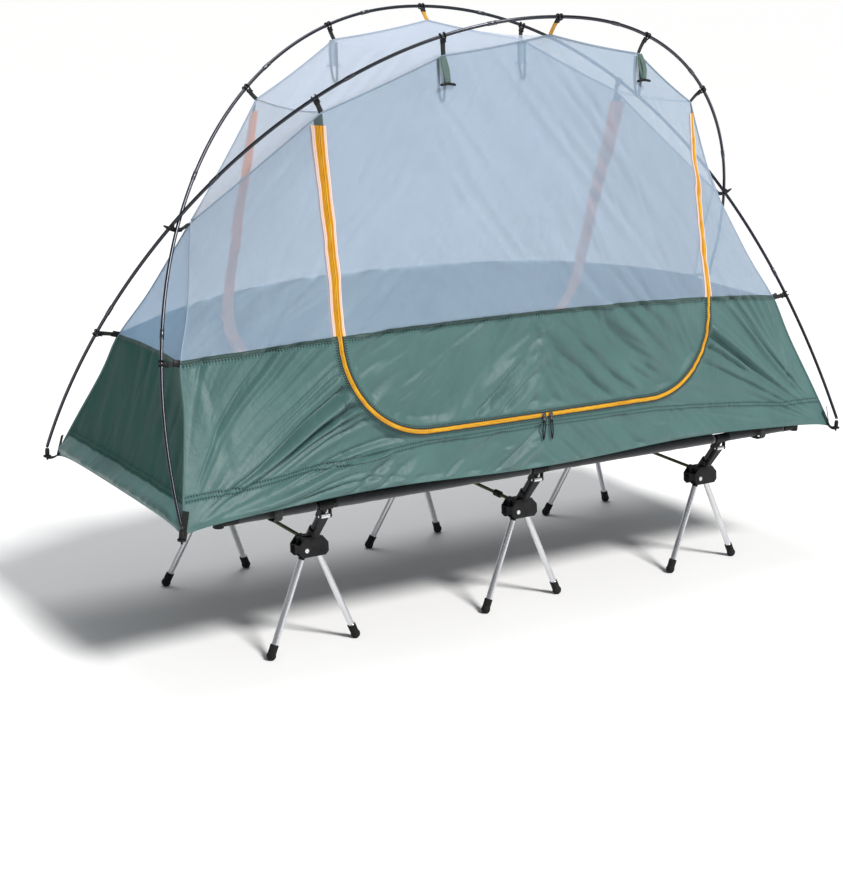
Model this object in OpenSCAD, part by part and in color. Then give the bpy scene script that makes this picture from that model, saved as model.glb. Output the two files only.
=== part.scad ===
// Folding camp cot that carries a one-person hoop tent.
// Origin: on the ground under the middle of the cot. +X runs from the head end to the foot end,
// -Y is the front, where the near door is, and +Z is up. All sizes are in millimetres.

/* [Cot] */
// Distance between the two side rails, centre to centre
rail_spacing = 630; // [600:5:640]
// Length of the cot over the end bars
cot_length = 1850; // [1800:10:1880]
// Height of the side rails' centres above the ground
rail_height = 380; // [370:1:400]
// Distance from one leg set to the next
leg_set_pitch = 640; // [600:10:680]
// Outside diameter of the side rails
rail_d = 19; // [18:0.5:20]

/* [Legs] */
// Height of the leg pivots above the ground
pivot_height = 250; // [240:1:260]
// Outside diameter of a leg tube
leg_d = 16; // [14:0.5:16]
// Splay of each leg along the cot, from vertical
leg_splay = 23.4; // [20:0.1:26]
// Lean of each leg pair away from the cot's middle, from vertical
leg_lean = 8; // [6:0.5:9]

/* [Tent] */
// Span of the poles from foot to foot, along the cot
pole_span = 2100; // [2080:5:2120]
// Distance between the poles' feet across the cot
pole_feet_spacing = 770; // [760:5:780]
// Height of the poles' tops above their feet
pole_rise = 1142; // [1130:1:1150]
// How full the arches' shoulders are: 2 is an ellipse
pole_square = 2.06; // [2:0.01:2.1]
// Distance between the two poles at the top
pole_top_spacing = 594; // [585:1:600]
// Outside diameter of a pole
pole_d = 8.6; // [8.5:0.1:8.8]

/* [Doors] */
// Width of each door between its zips
door_width = 1170; // [1160:1:1180]
// Height of the zip's bottom run above the pole feet
door_sill = 163; // [155:1:170]
// Radius of the door's lower corners
door_corner_r = 230; // [220:1:235]

/* [Hidden] */
$fn = 48;
cloth_t = 2.5;                       // thickness that stands for a fabric panel
rail_r = rail_d / 2;
rail_y = rail_spacing / 2;
deck_top = rail_height + rail_r + 2.4;
tent_z = deck_top - 22.9;            // level of the poles' feet
stations = [-leg_set_pitch, 0, leg_set_pitch];
sides = [-1, 1];

// Hub: two slots side by side, one for each leg of a pair
cheek_t = 4;
slot_w = 18.6;
slot_y = (slot_w + cheek_t) / 2;
hub_half = slot_w + 1.5 * cheek_t;
leg_pivot_x = 22;
hub_y = 250;
pin_r = 3;
socket_gap = 0.1;
leg_r = leg_d / 2;
foot_r = 12;
foot_z = 10;                         // height of the foot's round centre: its flat is a chord below

// Arm from a hub up to its rail
hub_top = 24;
arm_foot = [hub_y - hub_top * sin(leg_lean), pivot_height + hub_top * cos(leg_lean)];
arm_run = [rail_y - arm_foot.x, rail_height - arm_foot.y];
arm_len = norm(arm_run);
arm_tilt = atan2(arm_run.x, arm_run.y);
arm_inset = 14;
saddle_r = 12.5;
saddle_w = 40;
elbow_core = 14;                     // solid part of a corner elbow, from its centre to its bores
lever_drop = 22;                     // from the rail's centre down the arm to the lever's pin
lever_out = 17;                      // from the arm's centre line out to the lever's pin
lever_len = 76;

// Tent skin: heights are above the poles' feet
skin_half_x = 1034;
skin_half_y = 350;
apex_x = 838;
apex_z = 651;
skin_floor = 24;
wall_foot = 28;
ridge_z_at = [[0, 1103], [0.36, 1055], [0.69, 918], [1, apex_z]];
ridge_y_at = [[0, 266], [0.36, 247], [0.69, 154], [1, 0]];
seam_edge = 352;                     // height of the tub's top edge at the corners
seam_rise = 72;                      // how much higher it is at the middle of a long side
seam_half_x = 946;
tape_gap = 0.5;
tape_w = 9.7;
cloth_gap = 10;                      // from a zip's centre line to the cloth on each side
header_z = 905;
door_top = 872;
door_x = door_width / 2;
arc_x = door_x - door_corner_r;
arc_z = door_sill + door_corner_r;
tape_top = 900;

// Poles
pole_r = pole_d / 2;
pole_bow = 5;                        // half the distance between the poles where they cross
pole_curve = 1.74;
pole_sections = 9;
pole_end = 0.985;
clip_at = [0, 0.1865, 0.3817, 0.8016];
cross_at = pow(pole_top_spacing / (pole_top_spacing + pole_feet_spacing), 1 / pole_curve);

leg_sides = ["front", "back"];
leg_names = ["head", "middle", "foot"];
LEG_NODES = [for (n = leg_names, s = leg_sides, e = ["left", "right"]) str("leg_", n, "_", s, "_", e)];
LEVER_NODES = [for (n = leg_names) str("lever_", n)];
SLIDER_NODES = [for (s = leg_sides, e = ["left", "right"]) str("slider_", s, "_", e)];

// ---------- helpers ----------

// Cylinder from a to b, with an optional bore
module rod(a, b, r, bore = 0) {
    d = b - a;
    h = norm(d);
    translate(a)
        rotate([0, acos(d.z / h), atan2(d.y, d.x)])
            difference() {
                cylinder(h = h, r = r);
                if (bore > 0) translate([0, 0, -1]) cylinder(h = h + 2, r = bore);
            }
}

// Flat strap from a to b: wide along the direction that turn sets, thin across it
module strap(a, b, w, t, turn = 0) {
    d = b - a;
    h = norm(d);
    translate(a)
        rotate([0, acos(d.z / h), atan2(d.y, d.x)])
            rotate([0, 0, turn])
                translate([-t / 2, -w / 2, 0]) cube([t, w, h]);
}

// Closed sheet between two rows of points, given thickness by a shift
module sheet(a, b, shift) {
    n = len(a);
    flipped = cross(a[n - 1] - a[0], b[0] - a[0]) * shift < 0;
    p = flipped ? b : a;
    q = flipped ? a : b;
    pts = concat(p, q, [for (c = p) c + shift], [for (c = q) c + shift]);
    sides = [for (i = [0:n - 2]) each [
        [i, i + 1, n + i + 1, n + i],
        [2 * n + i, 3 * n + i, 3 * n + i + 1, 2 * n + i + 1],
        [i, 2 * n + i, 2 * n + i + 1, i + 1],
        [n + i, n + i + 1, 3 * n + i + 1, 3 * n + i]]];
    caps = [[0, n, 3 * n, 2 * n], [n - 1, 3 * n - 1, 4 * n - 1, 2 * n - 1]];
    polyhedron(pts, [for (f = concat(sides, caps)) each [[f[0], f[1], f[2]], [f[0], f[2], f[3]]]]);
}

// Tube along a list of points, closed at both ends
function unit(v) = v / norm(v);
module sweep(path, r, n = 10) {
    last = len(path) - 1;
    rings = [for (i = [0:last])
        let (t = unit(path[min(i + 1, last)] - path[max(i - 1, 0)]),
             side = unit(cross(t, [0, 1, 0])), up = cross(side, t))
        for (k = [0:n - 1]) path[i] + r * (cos(360 * k / n) * side + sin(360 * k / n) * up)];
    walls = [for (i = [0:last - 1], k = [0:n - 1]) let (j = (k + 1) % n)
        each [[i * n + k, i * n + j, (i + 1) * n + j], [i * n + k, (i + 1) * n + j, (i + 1) * n + k]]];
    polyhedron(rings, concat(walls,
        [[for (k = [n - 1:-1:0]) k], [for (k = [0:n - 1]) last * n + k]]));
}

// ---------- cot ----------

module rail(side) {
    reach = cot_length / 2 - elbow_core;
    cuts = [-reach, -460, 0, 460, reach];
    color("dimgray")
        for (i = [0:3])
            rod([cuts[i] + 0.2, side * rail_y, rail_height], [cuts[i + 1] - 0.2, side * rail_y, rail_height],
                rail_r, rail_r - 1.3);
}

module rail_ferrules() {
    color("silver")
        for (s = sides, x = [-460, 0, 460])
            rod([x - 35, s * rail_y, rail_height], [x + 35, s * rail_y, rail_height], rail_r - 1.5, rail_r - 2.7);
}

module end_bars() {
    color("dimgray")
        for (s = sides)
            rod([s * cot_length / 2, elbow_core + 0.2 - rail_y, rail_height],
                [s * cot_length / 2, rail_y - elbow_core - 0.2, rail_height], rail_r, rail_r - 1.3);
}

module corner_elbows() {
    reach = 45;
    color([0.08, 0.08, 0.08])
        for (sx = sides, sy = sides) {
            corner = [sx * cot_length / 2, sy * rail_y, rail_height];
            difference() {
                union() {
                    translate(corner) cylinder(h = 2 * saddle_r - 0.6, r = saddle_r + 0.5, center = true);
                    rod(corner, corner - [sx * reach, 0, 0], saddle_r - 0.8);
                    rod(corner, corner - [0, sy * reach, 0], saddle_r - 0.8);
                }
                rod(corner - [sx * elbow_core, 0, 0], corner - [sx * (reach + 1), 0, 0], rail_r + socket_gap);
                rod(corner - [0, sy * elbow_core, 0], corner - [0, sy * (reach + 1), 0], rail_r + socket_gap);
            }
        }
}

module deck_fabric() {
    sleeve_r = rail_r + 2.1;
    notch = saddle_w / 2 + 6;
    end_x = cot_length / 2;
    color([0.07, 0.07, 0.07])
        difference() {
            union() {
                translate([0, 0, rail_height + rail_r + 0.4]) linear_extrude(2) {
                    square([2 * end_x + 6, 2 * rail_y - 96], center = true);
                    square([2 * end_x - 96, 2 * rail_y + 6], center = true);
                }
                for (s = sides) {
                    rod([-end_x + 48, s * rail_y, rail_height], [end_x - 48, s * rail_y, rail_height], sleeve_r);
                    rod([s * end_x, -rail_y + 48, rail_height], [s * end_x, rail_y - 48, rail_height], sleeve_r);
                }
            }
            for (s = sides) {
                rod([-end_x, s * rail_y, rail_height], [end_x, s * rail_y, rail_height], rail_r + 0.2);
                rod([s * end_x, -rail_y, rail_height], [s * end_x, rail_y, rail_height], rail_r + 0.2);
                for (x = stations)
                    translate([x - notch, s * rail_y - 25, rail_height - 30]) cube([2 * notch, 50, 60]);
            }
        }
}

// Places children in a hub's own frame: origin between the leg pivots, leaned outwards
module at_hub(x, side) {
    translate([x, side * hub_y, pivot_height]) rotate([side * leg_lean, 0, 0]) children();
}

function arm_point(x, side, along, out = 0) = [
    x,
    side * (arm_foot.x + along * sin(arm_tilt) + out * cos(arm_tilt)),
    arm_foot.y + along * cos(arm_tilt) - out * sin(arm_tilt)];

module leg_hub(x, side) {
    color([0.06, 0.06, 0.06])
        difference() {
            union() {
                at_hub(x, side) {
                    for (y = [-slot_w - cheek_t, 0, slot_w + cheek_t])
                        translate([0, y + cheek_t / 2, 0]) rotate([90, 0, 0]) linear_extrude(cheek_t)
                            polygon([[-40, -8], [-31, -17], [31, -17], [40, -8], [40, 14], [24, 32], [-24, 32], [-40, 14]]);
                    translate([-40, -hub_half + 0.5, 12]) cube([80, 2 * hub_half - 1, 2]);
                    translate([-26, -hub_half, 13]) cube([52, 2 * hub_half, 18]);
                    for (e = sides)
                        translate([e * 37 - 3, e > 0 ? 1 : -slot_w - 3, -6]) cube([6, slot_w + 2, 19]);
                }
                rod(arm_point(x, side, 0), arm_point(x, side, 38), 12);
                rod([x, side * 205, pivot_height + 17], [x, side * 226.5, pivot_height + 17], 8);
            }
            rod(arm_point(x, side, arm_inset), arm_point(x, side, 60), leg_r + socket_gap);
            rod([x, side * 200, pivot_height + 17], [x, side * 215, pivot_height + 17], 4.6);
            at_hub(x, side) {
                for (e = sides) translate([e * leg_pivot_x, e * slot_y, 0]) rotate([90, 0, 0])
                    cylinder(h = slot_w + 2 * cheek_t + 0.1, r = pin_r + socket_gap, center = true);
            }
        }
}

module leg_hubs() {
    for (x = stations, s = sides) leg_hub(x, s);
}

module hub_braces() {
    color([0.35, 0.38, 0.22])
        for (x = stations)
            rod([x, -214, pivot_height + 17], [x, 214, pivot_height + 17], 4.5);
    color([0.08, 0.08, 0.08])
        rod([0, -165, pivot_height + 17], [0, -143, pivot_height + 17], 9, 4.6);
}

module rail_arms() {
    color([0.15, 0.15, 0.16])
        for (x = stations, s = sides)
            rod(arm_point(x, s, arm_inset + 0.2), arm_point(x, s, arm_len - arm_inset - 0.2), leg_r, leg_r - 1.5);
}

module rail_saddles() {
    color([0.06, 0.06, 0.06])
        for (x = stations, s = sides)
            difference() {
                union() {
                    rod([x - saddle_w / 2, s * rail_y, rail_height], [x + saddle_w / 2, s * rail_y, rail_height], saddle_r);
                    rod(arm_point(x, s, arm_len - 2), arm_point(x, s, arm_len - 40), 11);
                    if (s < 0) for (e = sides) lever_ear(x + e * 14.6);
                }
                rod([x - saddle_w, s * rail_y, rail_height], [x + saddle_w, s * rail_y, rail_height], rail_r + socket_gap);
                rod(arm_point(x, s, arm_len - arm_inset), arm_point(x, s, arm_len - 41), leg_r + socket_gap);
                if (s < 0) rod(lever_pin_at(x - 30), lever_pin_at(x + 30), 2.5 + socket_gap);
            }
}

function lever_pin_at(x) = arm_point(x, -1, arm_len - lever_drop, lever_out);

// Plate that carries one end of a lever's pin
module lever_ear(x) {
    root = arm_point(x, -1, arm_len);
    pin = lever_pin_at(x);
    d = pin - root;
    rod(pin - [2, 0, 0], pin + [2, 0, 0], 6);
    translate(root)
        rotate([atan2(d.z, d.y), 0, 0])
            translate([-2, 0, -5]) cube([4, norm(d), 10]);
}

module lever(x) {
    pin = lever_pin_at(x);
    tip = arm_point(x, -1, arm_len - lever_drop - lever_len, lever_out);
    color([0.05, 0.05, 0.05])
        difference() {
            union() {
                rod(pin - [12, 0, 0], pin + [12, 0, 0], 5.5);
                hull() {
                    rod(pin - [11, 0, 0], pin + [11, 0, 0], 3.6, 0);
                    rod(tip - [7.5, 0, 0], tip + [7.5, 0, 0], 3);
                }
            }
            rod(pin - [20, 0, 0], pin + [20, 0, 0], 2.5 + socket_gap / 2);
        }
}

module pivot_pins() {
    color("silver") {
        for (x = stations, s = sides, e = sides)
            at_hub(x, s) translate([e * leg_pivot_x, e * slot_y, 0]) {
                rotate([90, 0, 0]) cylinder(h = slot_w + 2 * cheek_t - 0.2, r = pin_r - 0.05, center = true);
                translate([0, e * (slot_w / 2 + cheek_t + 1), 0]) rotate([90, 0, 0])
                    cylinder(h = 1.8, r = 5.5, center = true);
                translate([0, e * (slot_w / 2 + cheek_t), 0]) rotate([90, 0, 0])
                    cylinder(h = 0.9, r = pin_r - 0.05, center = true);
            }
        for (x = stations) rod(lever_pin_at(x - 17.4), lever_pin_at(x + 17.4), 2.5);
    }
}

function leg_length(side, end) = (pivot_height + end * slot_y * sin(side * leg_lean) - foot_z)
    / (cos(leg_splay) * cos(leg_lean));

// One leg in the hub's frame: knuckle, tube and rubber foot
module leg(x, side, end) {
    leg_len = leg_length(side, end);
    module frame() {
        at_hub(x, side) translate([end * leg_pivot_x, end * slot_y, 0]) rotate([0, -end * leg_splay, 0]) children();
    }
    frame() color([0.08, 0.08, 0.08]) difference() {
        union() {
            rotate([90, 0, 0]) cylinder(h = slot_w - 0.6, r = 11, center = true);
            translate([0, 0, -24]) cylinder(h = 24, r = leg_r);
            translate([0, 0, -50]) cylinder(h = 27, r = leg_r - 1.6);
        }
        rotate([90, 0, 0]) cylinder(h = 40, r = pin_r, center = true);
    }
    frame() color("silver") translate([0, 0, -leg_len + 4]) difference() {
        cylinder(h = leg_len - 28.1, r = leg_r);
        translate([0, 0, -1]) cylinder(h = leg_len, r = leg_r - 1.5);
    }
    color([0.05, 0.05, 0.05]) difference() {
        frame() {
            translate([0, 0, -leg_len]) sphere(r = foot_r);
            translate([0, 0, -leg_len]) cylinder(h = 28, r = foot_r - 1.5);
        }
        frame() translate([0, 0, -leg_len + 3.9]) cylinder(h = 40, r = leg_r + 0.05);
        translate([x + end * 130 - 60, side * 290 - 60, -40]) cube([120, 120, 40]);
    }
}

// ---------- poles ----------

// Point on a pole: t runs from -1 at its head foot to 1 at its foot-end foot
function arch(s) = sign(s) * pow(abs(s), 2 / pole_square);
function pole_at(t, side, lift = 0) = let (bow = lift - side * pole_bow) [
    (pole_span / 2 + bow) * arch(sin(90 * t)),
    side * (pole_top_spacing / 2 - (pole_top_spacing + pole_feet_spacing) / 2 * pow(abs(t), pole_curve)),
    tent_z + (pole_rise + bow) * arch(cos(90 * t))];
function pole_dir(t, side) = unit(pole_at(t + 0.002, side) - pole_at(t - 0.002, side));

module pole(side) {
    steps = 8;
    cut = 0.0004;
    color([0.35, 0.36, 0.38])
        for (i = [0:pole_sections - 1]) {
            from = -pole_end + 2 * pole_end * i / pole_sections + cut;
            to = -pole_end + 2 * pole_end * (i + 1) / pole_sections - cut;
            sweep([for (k = [0:steps]) pole_at(from + (to - from) * k / steps, side)], pole_r);
        }
}

module pole_ferrules() {
    color([0.75, 0.76, 0.78])
        for (s = sides, i = [1:pole_sections - 1]) {
            t = -pole_end + 2 * pole_end * i / pole_sections;
            rod(pole_at(t, s) - 11 * pole_dir(t, s), pole_at(t, s) + 11 * pole_dir(t, s), pole_r + 1, pole_r + 0.25);
        }
}

module pole_tips() {
    color([0.1, 0.1, 0.1])
        for (s = sides, e = sides) {
            top = pole_at(e * pole_end, s);
            foot = [top.x, top.y, tent_z];
            rod(foot + [0, 0, 8], [top.x, top.y, top.z - 1.2], pole_r + 1.5);
            rod(foot - [0, 0, 6], foot + [0, 0, 9], 2.6);
        }
}

// ---------- clips, hooks and straps ----------

function skin_ridge(u, side) = [
    apex_x * u,
    side * lookup(abs(u), ridge_y_at),
    tent_z + lookup(abs(u), ridge_z_at)];
ridge_u = [0, 0.36, 0.69];
// Where a clip's strap meets the skin: on the ridge, or on the corner seam for the low clip
function skin_anchor(i, end, side) = i < 3
    ? skin_ridge(end * ridge_u[i], side) + [end * 1, side * 2, 5]
    : [end * (skin_half_x - 84), -side * 169, tent_z + 353];

module ring(i, end, side, r, bore, w) {
    t = end * clip_at[i];
    rod(pole_at(t, side) - w / 2 * pole_dir(t, side), pole_at(t, side) + w / 2 * pole_dir(t, side), r, bore);
}

// Every clip position, as [index, end, side]
clips = concat([for (s = sides) [0, 1, s]], [for (i = [1:3], e = sides, s = sides) [i, e, s]]);

module pole_clips() {
    color([0.06, 0.06, 0.06])
        for (c = clips) ring(c[0], c[1], c[2], 8, pole_r + 0.8, 16);
}

module clip_strap(c) {
    a = pole_at(c[1] * clip_at[c[0]], c[2]);
    b = skin_anchor(c[0], c[1], c[2]);
    strap(a + unit(b - a) * 9.8, b, 12, 1.6, c[0] == 3 ? 0 : 90);
}

module clip_straps() {
    color([0.12, 0.14, 0.13]) for (c = clips) if (c[0] > 0) clip_strap(c);
}

module centre_straps() {
    color([0.9, 0.6, 0.1]) for (c = clips) if (c[0] == 0) clip_strap(c);
}

// Hook under each pole crossing, tied to the skin's end point
module crossing_hooks() {
    color([0.06, 0.06, 0.06])
        for (e = sides) {
            inner = pole_at(e * cross_at, 1);
            outer = pole_at(e * cross_at, -1);
            low = inner.z - 21;
            translate([0, 0, low - 5]) linear_extrude(5)
                polygon([for (p = [[-18, -6], [16, -6], [30, 0], [16, 6], [-18, 6]]) [outer.x + e * p.x, p.y]]);
            translate([outer.x - 4 + e * 15, -4, low]) cube([8, 8, 18]);
            strap([e * (apex_x + 6), 0, tent_z + apex_z - 4], [outer.x - e * 18.6, 0, low - 2.5], 12, 2, 0);
        }
}

module corner_tabs() {
    color([0.12, 0.14, 0.13])
        for (s = sides, e = sides) {
            top = pole_at(e * pole_end, s);
            corner = [e * (skin_half_x - 8), -s * (skin_half_y - 8)];
            difference() {
                translate([0, 0, tent_z + 2]) linear_extrude(2.4) hull() {
                    translate([top.x, top.y]) circle(r = 11, $fn = 32);
                    translate(corner) circle(r = 8, $fn = 32);
                }
                translate([top.x, top.y, tent_z - 10]) cylinder(h = 30, r = 4);
            }
            translate([corner.x - 6, corner.y - 6, tent_z + 4.4]) cube([12, 12, skin_floor - 4.8]);
        }
}

// Webbing loops that hold the tent's floor down on the side rails
module cot_loops() {
    color([0.05, 0.05, 0.05])
        for (s = sides, x = [-780, 780])
            translate([x - 12, 0, 0]) rotate([90, 0, 90]) linear_extrude(24)
                polygon([for (p = [[26, 12.4], [26, -17], [-17, -17], [-17, 8], [-15, 8], [-15, -15], [24, -15], [24, 12.4]])
                    [s * (rail_y + p.x), rail_height + p.y]]);
}

// ---------- tent skin ----------

// Point of the front wall at x and height z, found by walking u towards the ruling through it
function wall_v(u, z) = (z - skin_floor) / (lookup(abs(u), ridge_z_at) - skin_floor);
function wall_u(x, z, n = 12, u = 0) = n == 0 ? u
    : wall_u(x, z, n - 1, (u + x / (skin_half_x - (skin_half_x - apex_x) * wall_v(u, z))) / 2);
function wall_y(x, z) = let (u = wall_u(x, z, 12, x / skin_half_x), v = wall_v(u, z))
    skin_half_y + (lookup(abs(u), ridge_y_at) - skin_half_y) * v;
function wall_point(x, z, side, lift = 0) = [x, side * (wall_y(x, z) + lift), tent_z + z];
function seam_z(x) = seam_edge + seam_rise * (1 - pow(min(abs(x) / seam_half_x, 1), 2.6));
function ridge_at(x) = lookup(abs(x) / apex_x, ridge_z_at);
// Height of the door's outline at x, grown outwards by d
function door_low(x, d) = let (over = max(abs(x) - arc_x, 0), r = door_corner_r + d)
    arc_z - sqrt(max(r * r - over * over, 0));
function mix(a, b, k) = a + (b - a) * k;

// Positions of the columns across the door's outline, grown outwards by d
function door_columns(d) = concat(
    [for (a = [90:-15:15]) -arc_x - (door_corner_r + d) * sin(a)],
    [for (x = [-3:3]) x * arc_x / 3],
    [for (a = [15:15:90]) arc_x + (door_corner_r + d) * sin(a)]);

module wall_lower(side) {
    edge = door_x + cloth_gap;
    outer = [for (k = [1:-0.25:0]) k];
    inner = door_columns(cloth_gap);
    low = concat([for (k = outer) -mix(edge, skin_half_x - 5, k)], inner, [for (k = [0:0.25:1]) mix(edge, skin_half_x - 5, k)]);
    top = concat([for (k = outer) -mix(edge + 0.5, seam_half_x - 6, k)], inner, [for (k = [0:0.25:1]) mix(edge + 0.5, seam_half_x - 6, k)]);
    color([0.25, 0.4, 0.35])
        sheet([for (x = low) wall_point(x, wall_foot, side)],
              [for (x = top) wall_point(x, abs(x) > edge ? seam_z(x) : door_low(x, cloth_gap), side)],
              [0, -side * cloth_t, 0]);
}

module wall_mesh(side) {
    edge = door_x + cloth_gap;
    color([0.75, 0.8, 0.87]) {
        for (e = sides)
            sheet([for (k = [0:0.25:1]) wall_point(e * mix(edge, seam_half_x - 8, k), seam_z(mix(edge, seam_half_x - 8, k)) + 3, side)],
                  [for (k = [0:0.25:1]) let (x = mix(edge, apex_x - 12, k)) wall_point(e * x, ridge_at(x) - 6, side)],
                  [0, -side * cloth_t, 0]);
        span = door_x - cloth_gap;
        xs = concat([-span], [for (k = [-4:4]) k * 0.36 * apex_x / 3], [span]);
        columns = [for (x = xs) if (abs(x) <= span) x];
        sheet([for (x = columns) wall_point(x, header_z, side)],
              [for (x = columns) wall_point(x, ridge_at(x) - 6, side)],
              [0, -side * cloth_t, 0]);
    }
}

function end_point(y, z, end) = [end * (skin_half_x - (skin_half_x - apex_x) * (z - skin_floor) / (apex_z - skin_floor)), y, tent_z + z];
function end_half(z) = skin_half_y * (apex_z - z) / (apex_z - skin_floor);

module end_wall(end, low, high) {
    sheet([for (s = sides) end_point(s * (end_half(low) - 5), low, end)],
          [for (s = sides) end_point(s * (end_half(high) - 5), high, end)],
          [-end * cloth_t, 0, 0]);
}

module tub_floor() {
    color([0.22, 0.35, 0.31])
        translate([0, 0, tent_z + skin_floor]) linear_extrude(2)
            square([2 * skin_half_x - 12, 2 * skin_half_y - 12], center = true);
}

module roof_mesh() {
    us = [-0.96, -0.69, -0.36, 0, 0.36, 0.69, 0.96];
    color([0.85, 0.88, 0.93])
        sheet([for (u = us) skin_ridge(u, -1) + [0, 3, 0]],
              [for (u = us) skin_ridge(u, 1) - [0, 3, 0]],
              [0, 0, -2]);
}

module door_cloth(side, part) {
    cols = door_columns(-cloth_gap);
    color(part == "mesh" ? [0.75, 0.8, 0.87] : [0.25, 0.4, 0.35])
        sheet([for (x = cols) wall_point(x, part == "mesh" ? seam_z(x) + 1.5 : door_low(x, -cloth_gap), side)],
              [for (x = cols) wall_point(x, part == "mesh" ? door_top : seam_z(x) - 1.5, side)],
              [0, -side * cloth_t, 0]);
}

// Zip's run, offset outwards by d: down the left edge, round the corners and up the right edge
function zip_run(d, top) = concat(
    [for (k = [0:5]) [-door_x - d, mix(top, arc_z + 20, k / 5)]],
    [for (a = [0:15:90]) [-arc_x - (door_corner_r + d) * cos(a), arc_z - (door_corner_r + d) * sin(a)]],
    [for (k = [-2:2]) [k * arc_x / 3, door_sill - d]],
    [for (a = [90:-15:0]) [arc_x + (door_corner_r + d) * cos(a), arc_z - (door_corner_r + d) * sin(a)]],
    [for (k = [5:-1:0]) [door_x + d, mix(top, arc_z + 20, k / 5)]]);

module zip_tape(side, from, to, top) {
    color([0.9, 0.6, 0.15])
        sheet([for (p = zip_run(from, top)) wall_point(p.x, p.y, side)],
              [for (p = zip_run(to, top)) wall_point(p.x, p.y, side)],
              [0, -side * 2, 0]);
}

// Zip slider and its cord pull, parked at the middle of the bottom run
module slider(side, end) {
    face = skin_half_y - 9.4;
    at = [end * 11, side * face, tent_z + door_sill];
    color("silver")
        translate(at + [-6, side < 0 ? -4.6 : 0.4, -5.5]) cube([12, 4.2, 11]);
    color([0.05, 0.05, 0.05])
        rod(at + [0, side * 6.4, -4], at + [end * 2, side * 6.4, -60], 1.6);
}

// Loops with a bar that hold the rolled-up doors
module door_toggles() {
    for (s = sides, e = sides) {
        top = skin_ridge(e * 0.36, s) + [e * 14, s * 5, -9];
        low = top + [e * 6, s * 10, -72];
        color([0.3, 0.45, 0.4]) strap(top, low, 14, 1.6, 90);
        color([0.05, 0.05, 0.05]) rod(low + [-20, 0, -4.2], low + [20, 0, -4.2], 4);
    }
}

// ---------- output ----------

deck_fabric();
rail(-1);  // rail_front
rail(1);  // rail_back
rail_ferrules();
end_bars();
corner_elbows();
leg_hubs();
hub_braces();
rail_arms();
rail_saddles();
pivot_pins();
pole(-1);  // pole_front
pole(1);  // pole_back
pole_ferrules();
pole_tips();
crossing_hooks();
pole_clips();
clip_straps();
centre_straps();
corner_tabs();
cot_loops();
tub_floor();
wall_lower(-1);  // wall_front_lower
wall_lower(1);  // wall_back_lower
color([0.25, 0.4, 0.35]) end_wall(-1, wall_foot, 350);  // wall_head_lower
color([0.25, 0.4, 0.35]) end_wall(1, wall_foot, 350);  // wall_foot_lower
wall_mesh(-1);  // wall_front_mesh
wall_mesh(1);  // wall_back_mesh
color([0.75, 0.8, 0.87]) end_wall(-1, 354, 628);  // wall_head_mesh
color([0.75, 0.8, 0.87]) end_wall(1, 354, 628);  // wall_foot_mesh
roof_mesh();
door_cloth(-1, "lower");  // door_front_lower
door_cloth(-1, "mesh");  // door_front_mesh
door_cloth(1, "lower");  // door_back_lower
door_cloth(1, "mesh");  // door_back_mesh
zip_tape(-1, tape_gap, tape_w, tape_top);  // zip_front_frame
zip_tape(1, tape_gap, tape_w, tape_top);  // zip_back_frame
zip_tape(-1, -tape_w, -tape_gap, door_top);  // zip_front_door
zip_tape(1, -tape_w, -tape_gap, door_top);  // zip_back_door
door_toggles();
for (i = [0:2])
    lever(stations[i]);
for (i = [0:2], s = [0, 1], e = [0, 1])
    leg(stations[i], sides[s], sides[e]);
for (s = [0, 1], e = [0, 1])
    slider(sides[s], sides[e]);
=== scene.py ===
"""Looks for the folding camp cot with its one-person tent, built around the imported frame.

Shapes are worked out in millimetres in the row frame: +X towards the foot end, -Y to the front, +Z up.
Heights named h are above the poles' feet, as in the CAD. Lengths become metres when a mesh is made.
"""

import math

import bpy
import numpy as np
from mathutils import Matrix, Vector


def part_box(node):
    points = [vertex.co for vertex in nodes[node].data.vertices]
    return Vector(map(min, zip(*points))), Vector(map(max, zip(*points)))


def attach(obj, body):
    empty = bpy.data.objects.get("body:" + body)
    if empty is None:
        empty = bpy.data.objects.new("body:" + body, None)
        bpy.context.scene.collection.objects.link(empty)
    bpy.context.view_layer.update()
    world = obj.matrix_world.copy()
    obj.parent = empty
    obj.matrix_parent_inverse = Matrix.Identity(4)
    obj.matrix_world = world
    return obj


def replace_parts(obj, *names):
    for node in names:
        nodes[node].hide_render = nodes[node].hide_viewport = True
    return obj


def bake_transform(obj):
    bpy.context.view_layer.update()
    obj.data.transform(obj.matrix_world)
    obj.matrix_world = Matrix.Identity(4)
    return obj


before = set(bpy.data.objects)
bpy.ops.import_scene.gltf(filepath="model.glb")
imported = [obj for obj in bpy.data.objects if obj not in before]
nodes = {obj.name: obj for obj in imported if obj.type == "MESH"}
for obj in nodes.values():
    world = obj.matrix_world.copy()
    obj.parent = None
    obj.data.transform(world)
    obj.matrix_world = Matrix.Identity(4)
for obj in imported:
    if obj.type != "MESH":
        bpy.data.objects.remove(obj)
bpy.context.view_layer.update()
scene = bpy.context.scene

ROOT = "cot_and_tent"
SIDES = {"front": -1, "back": 1}
ENDS = {"head": -1, "foot": 1}

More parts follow.
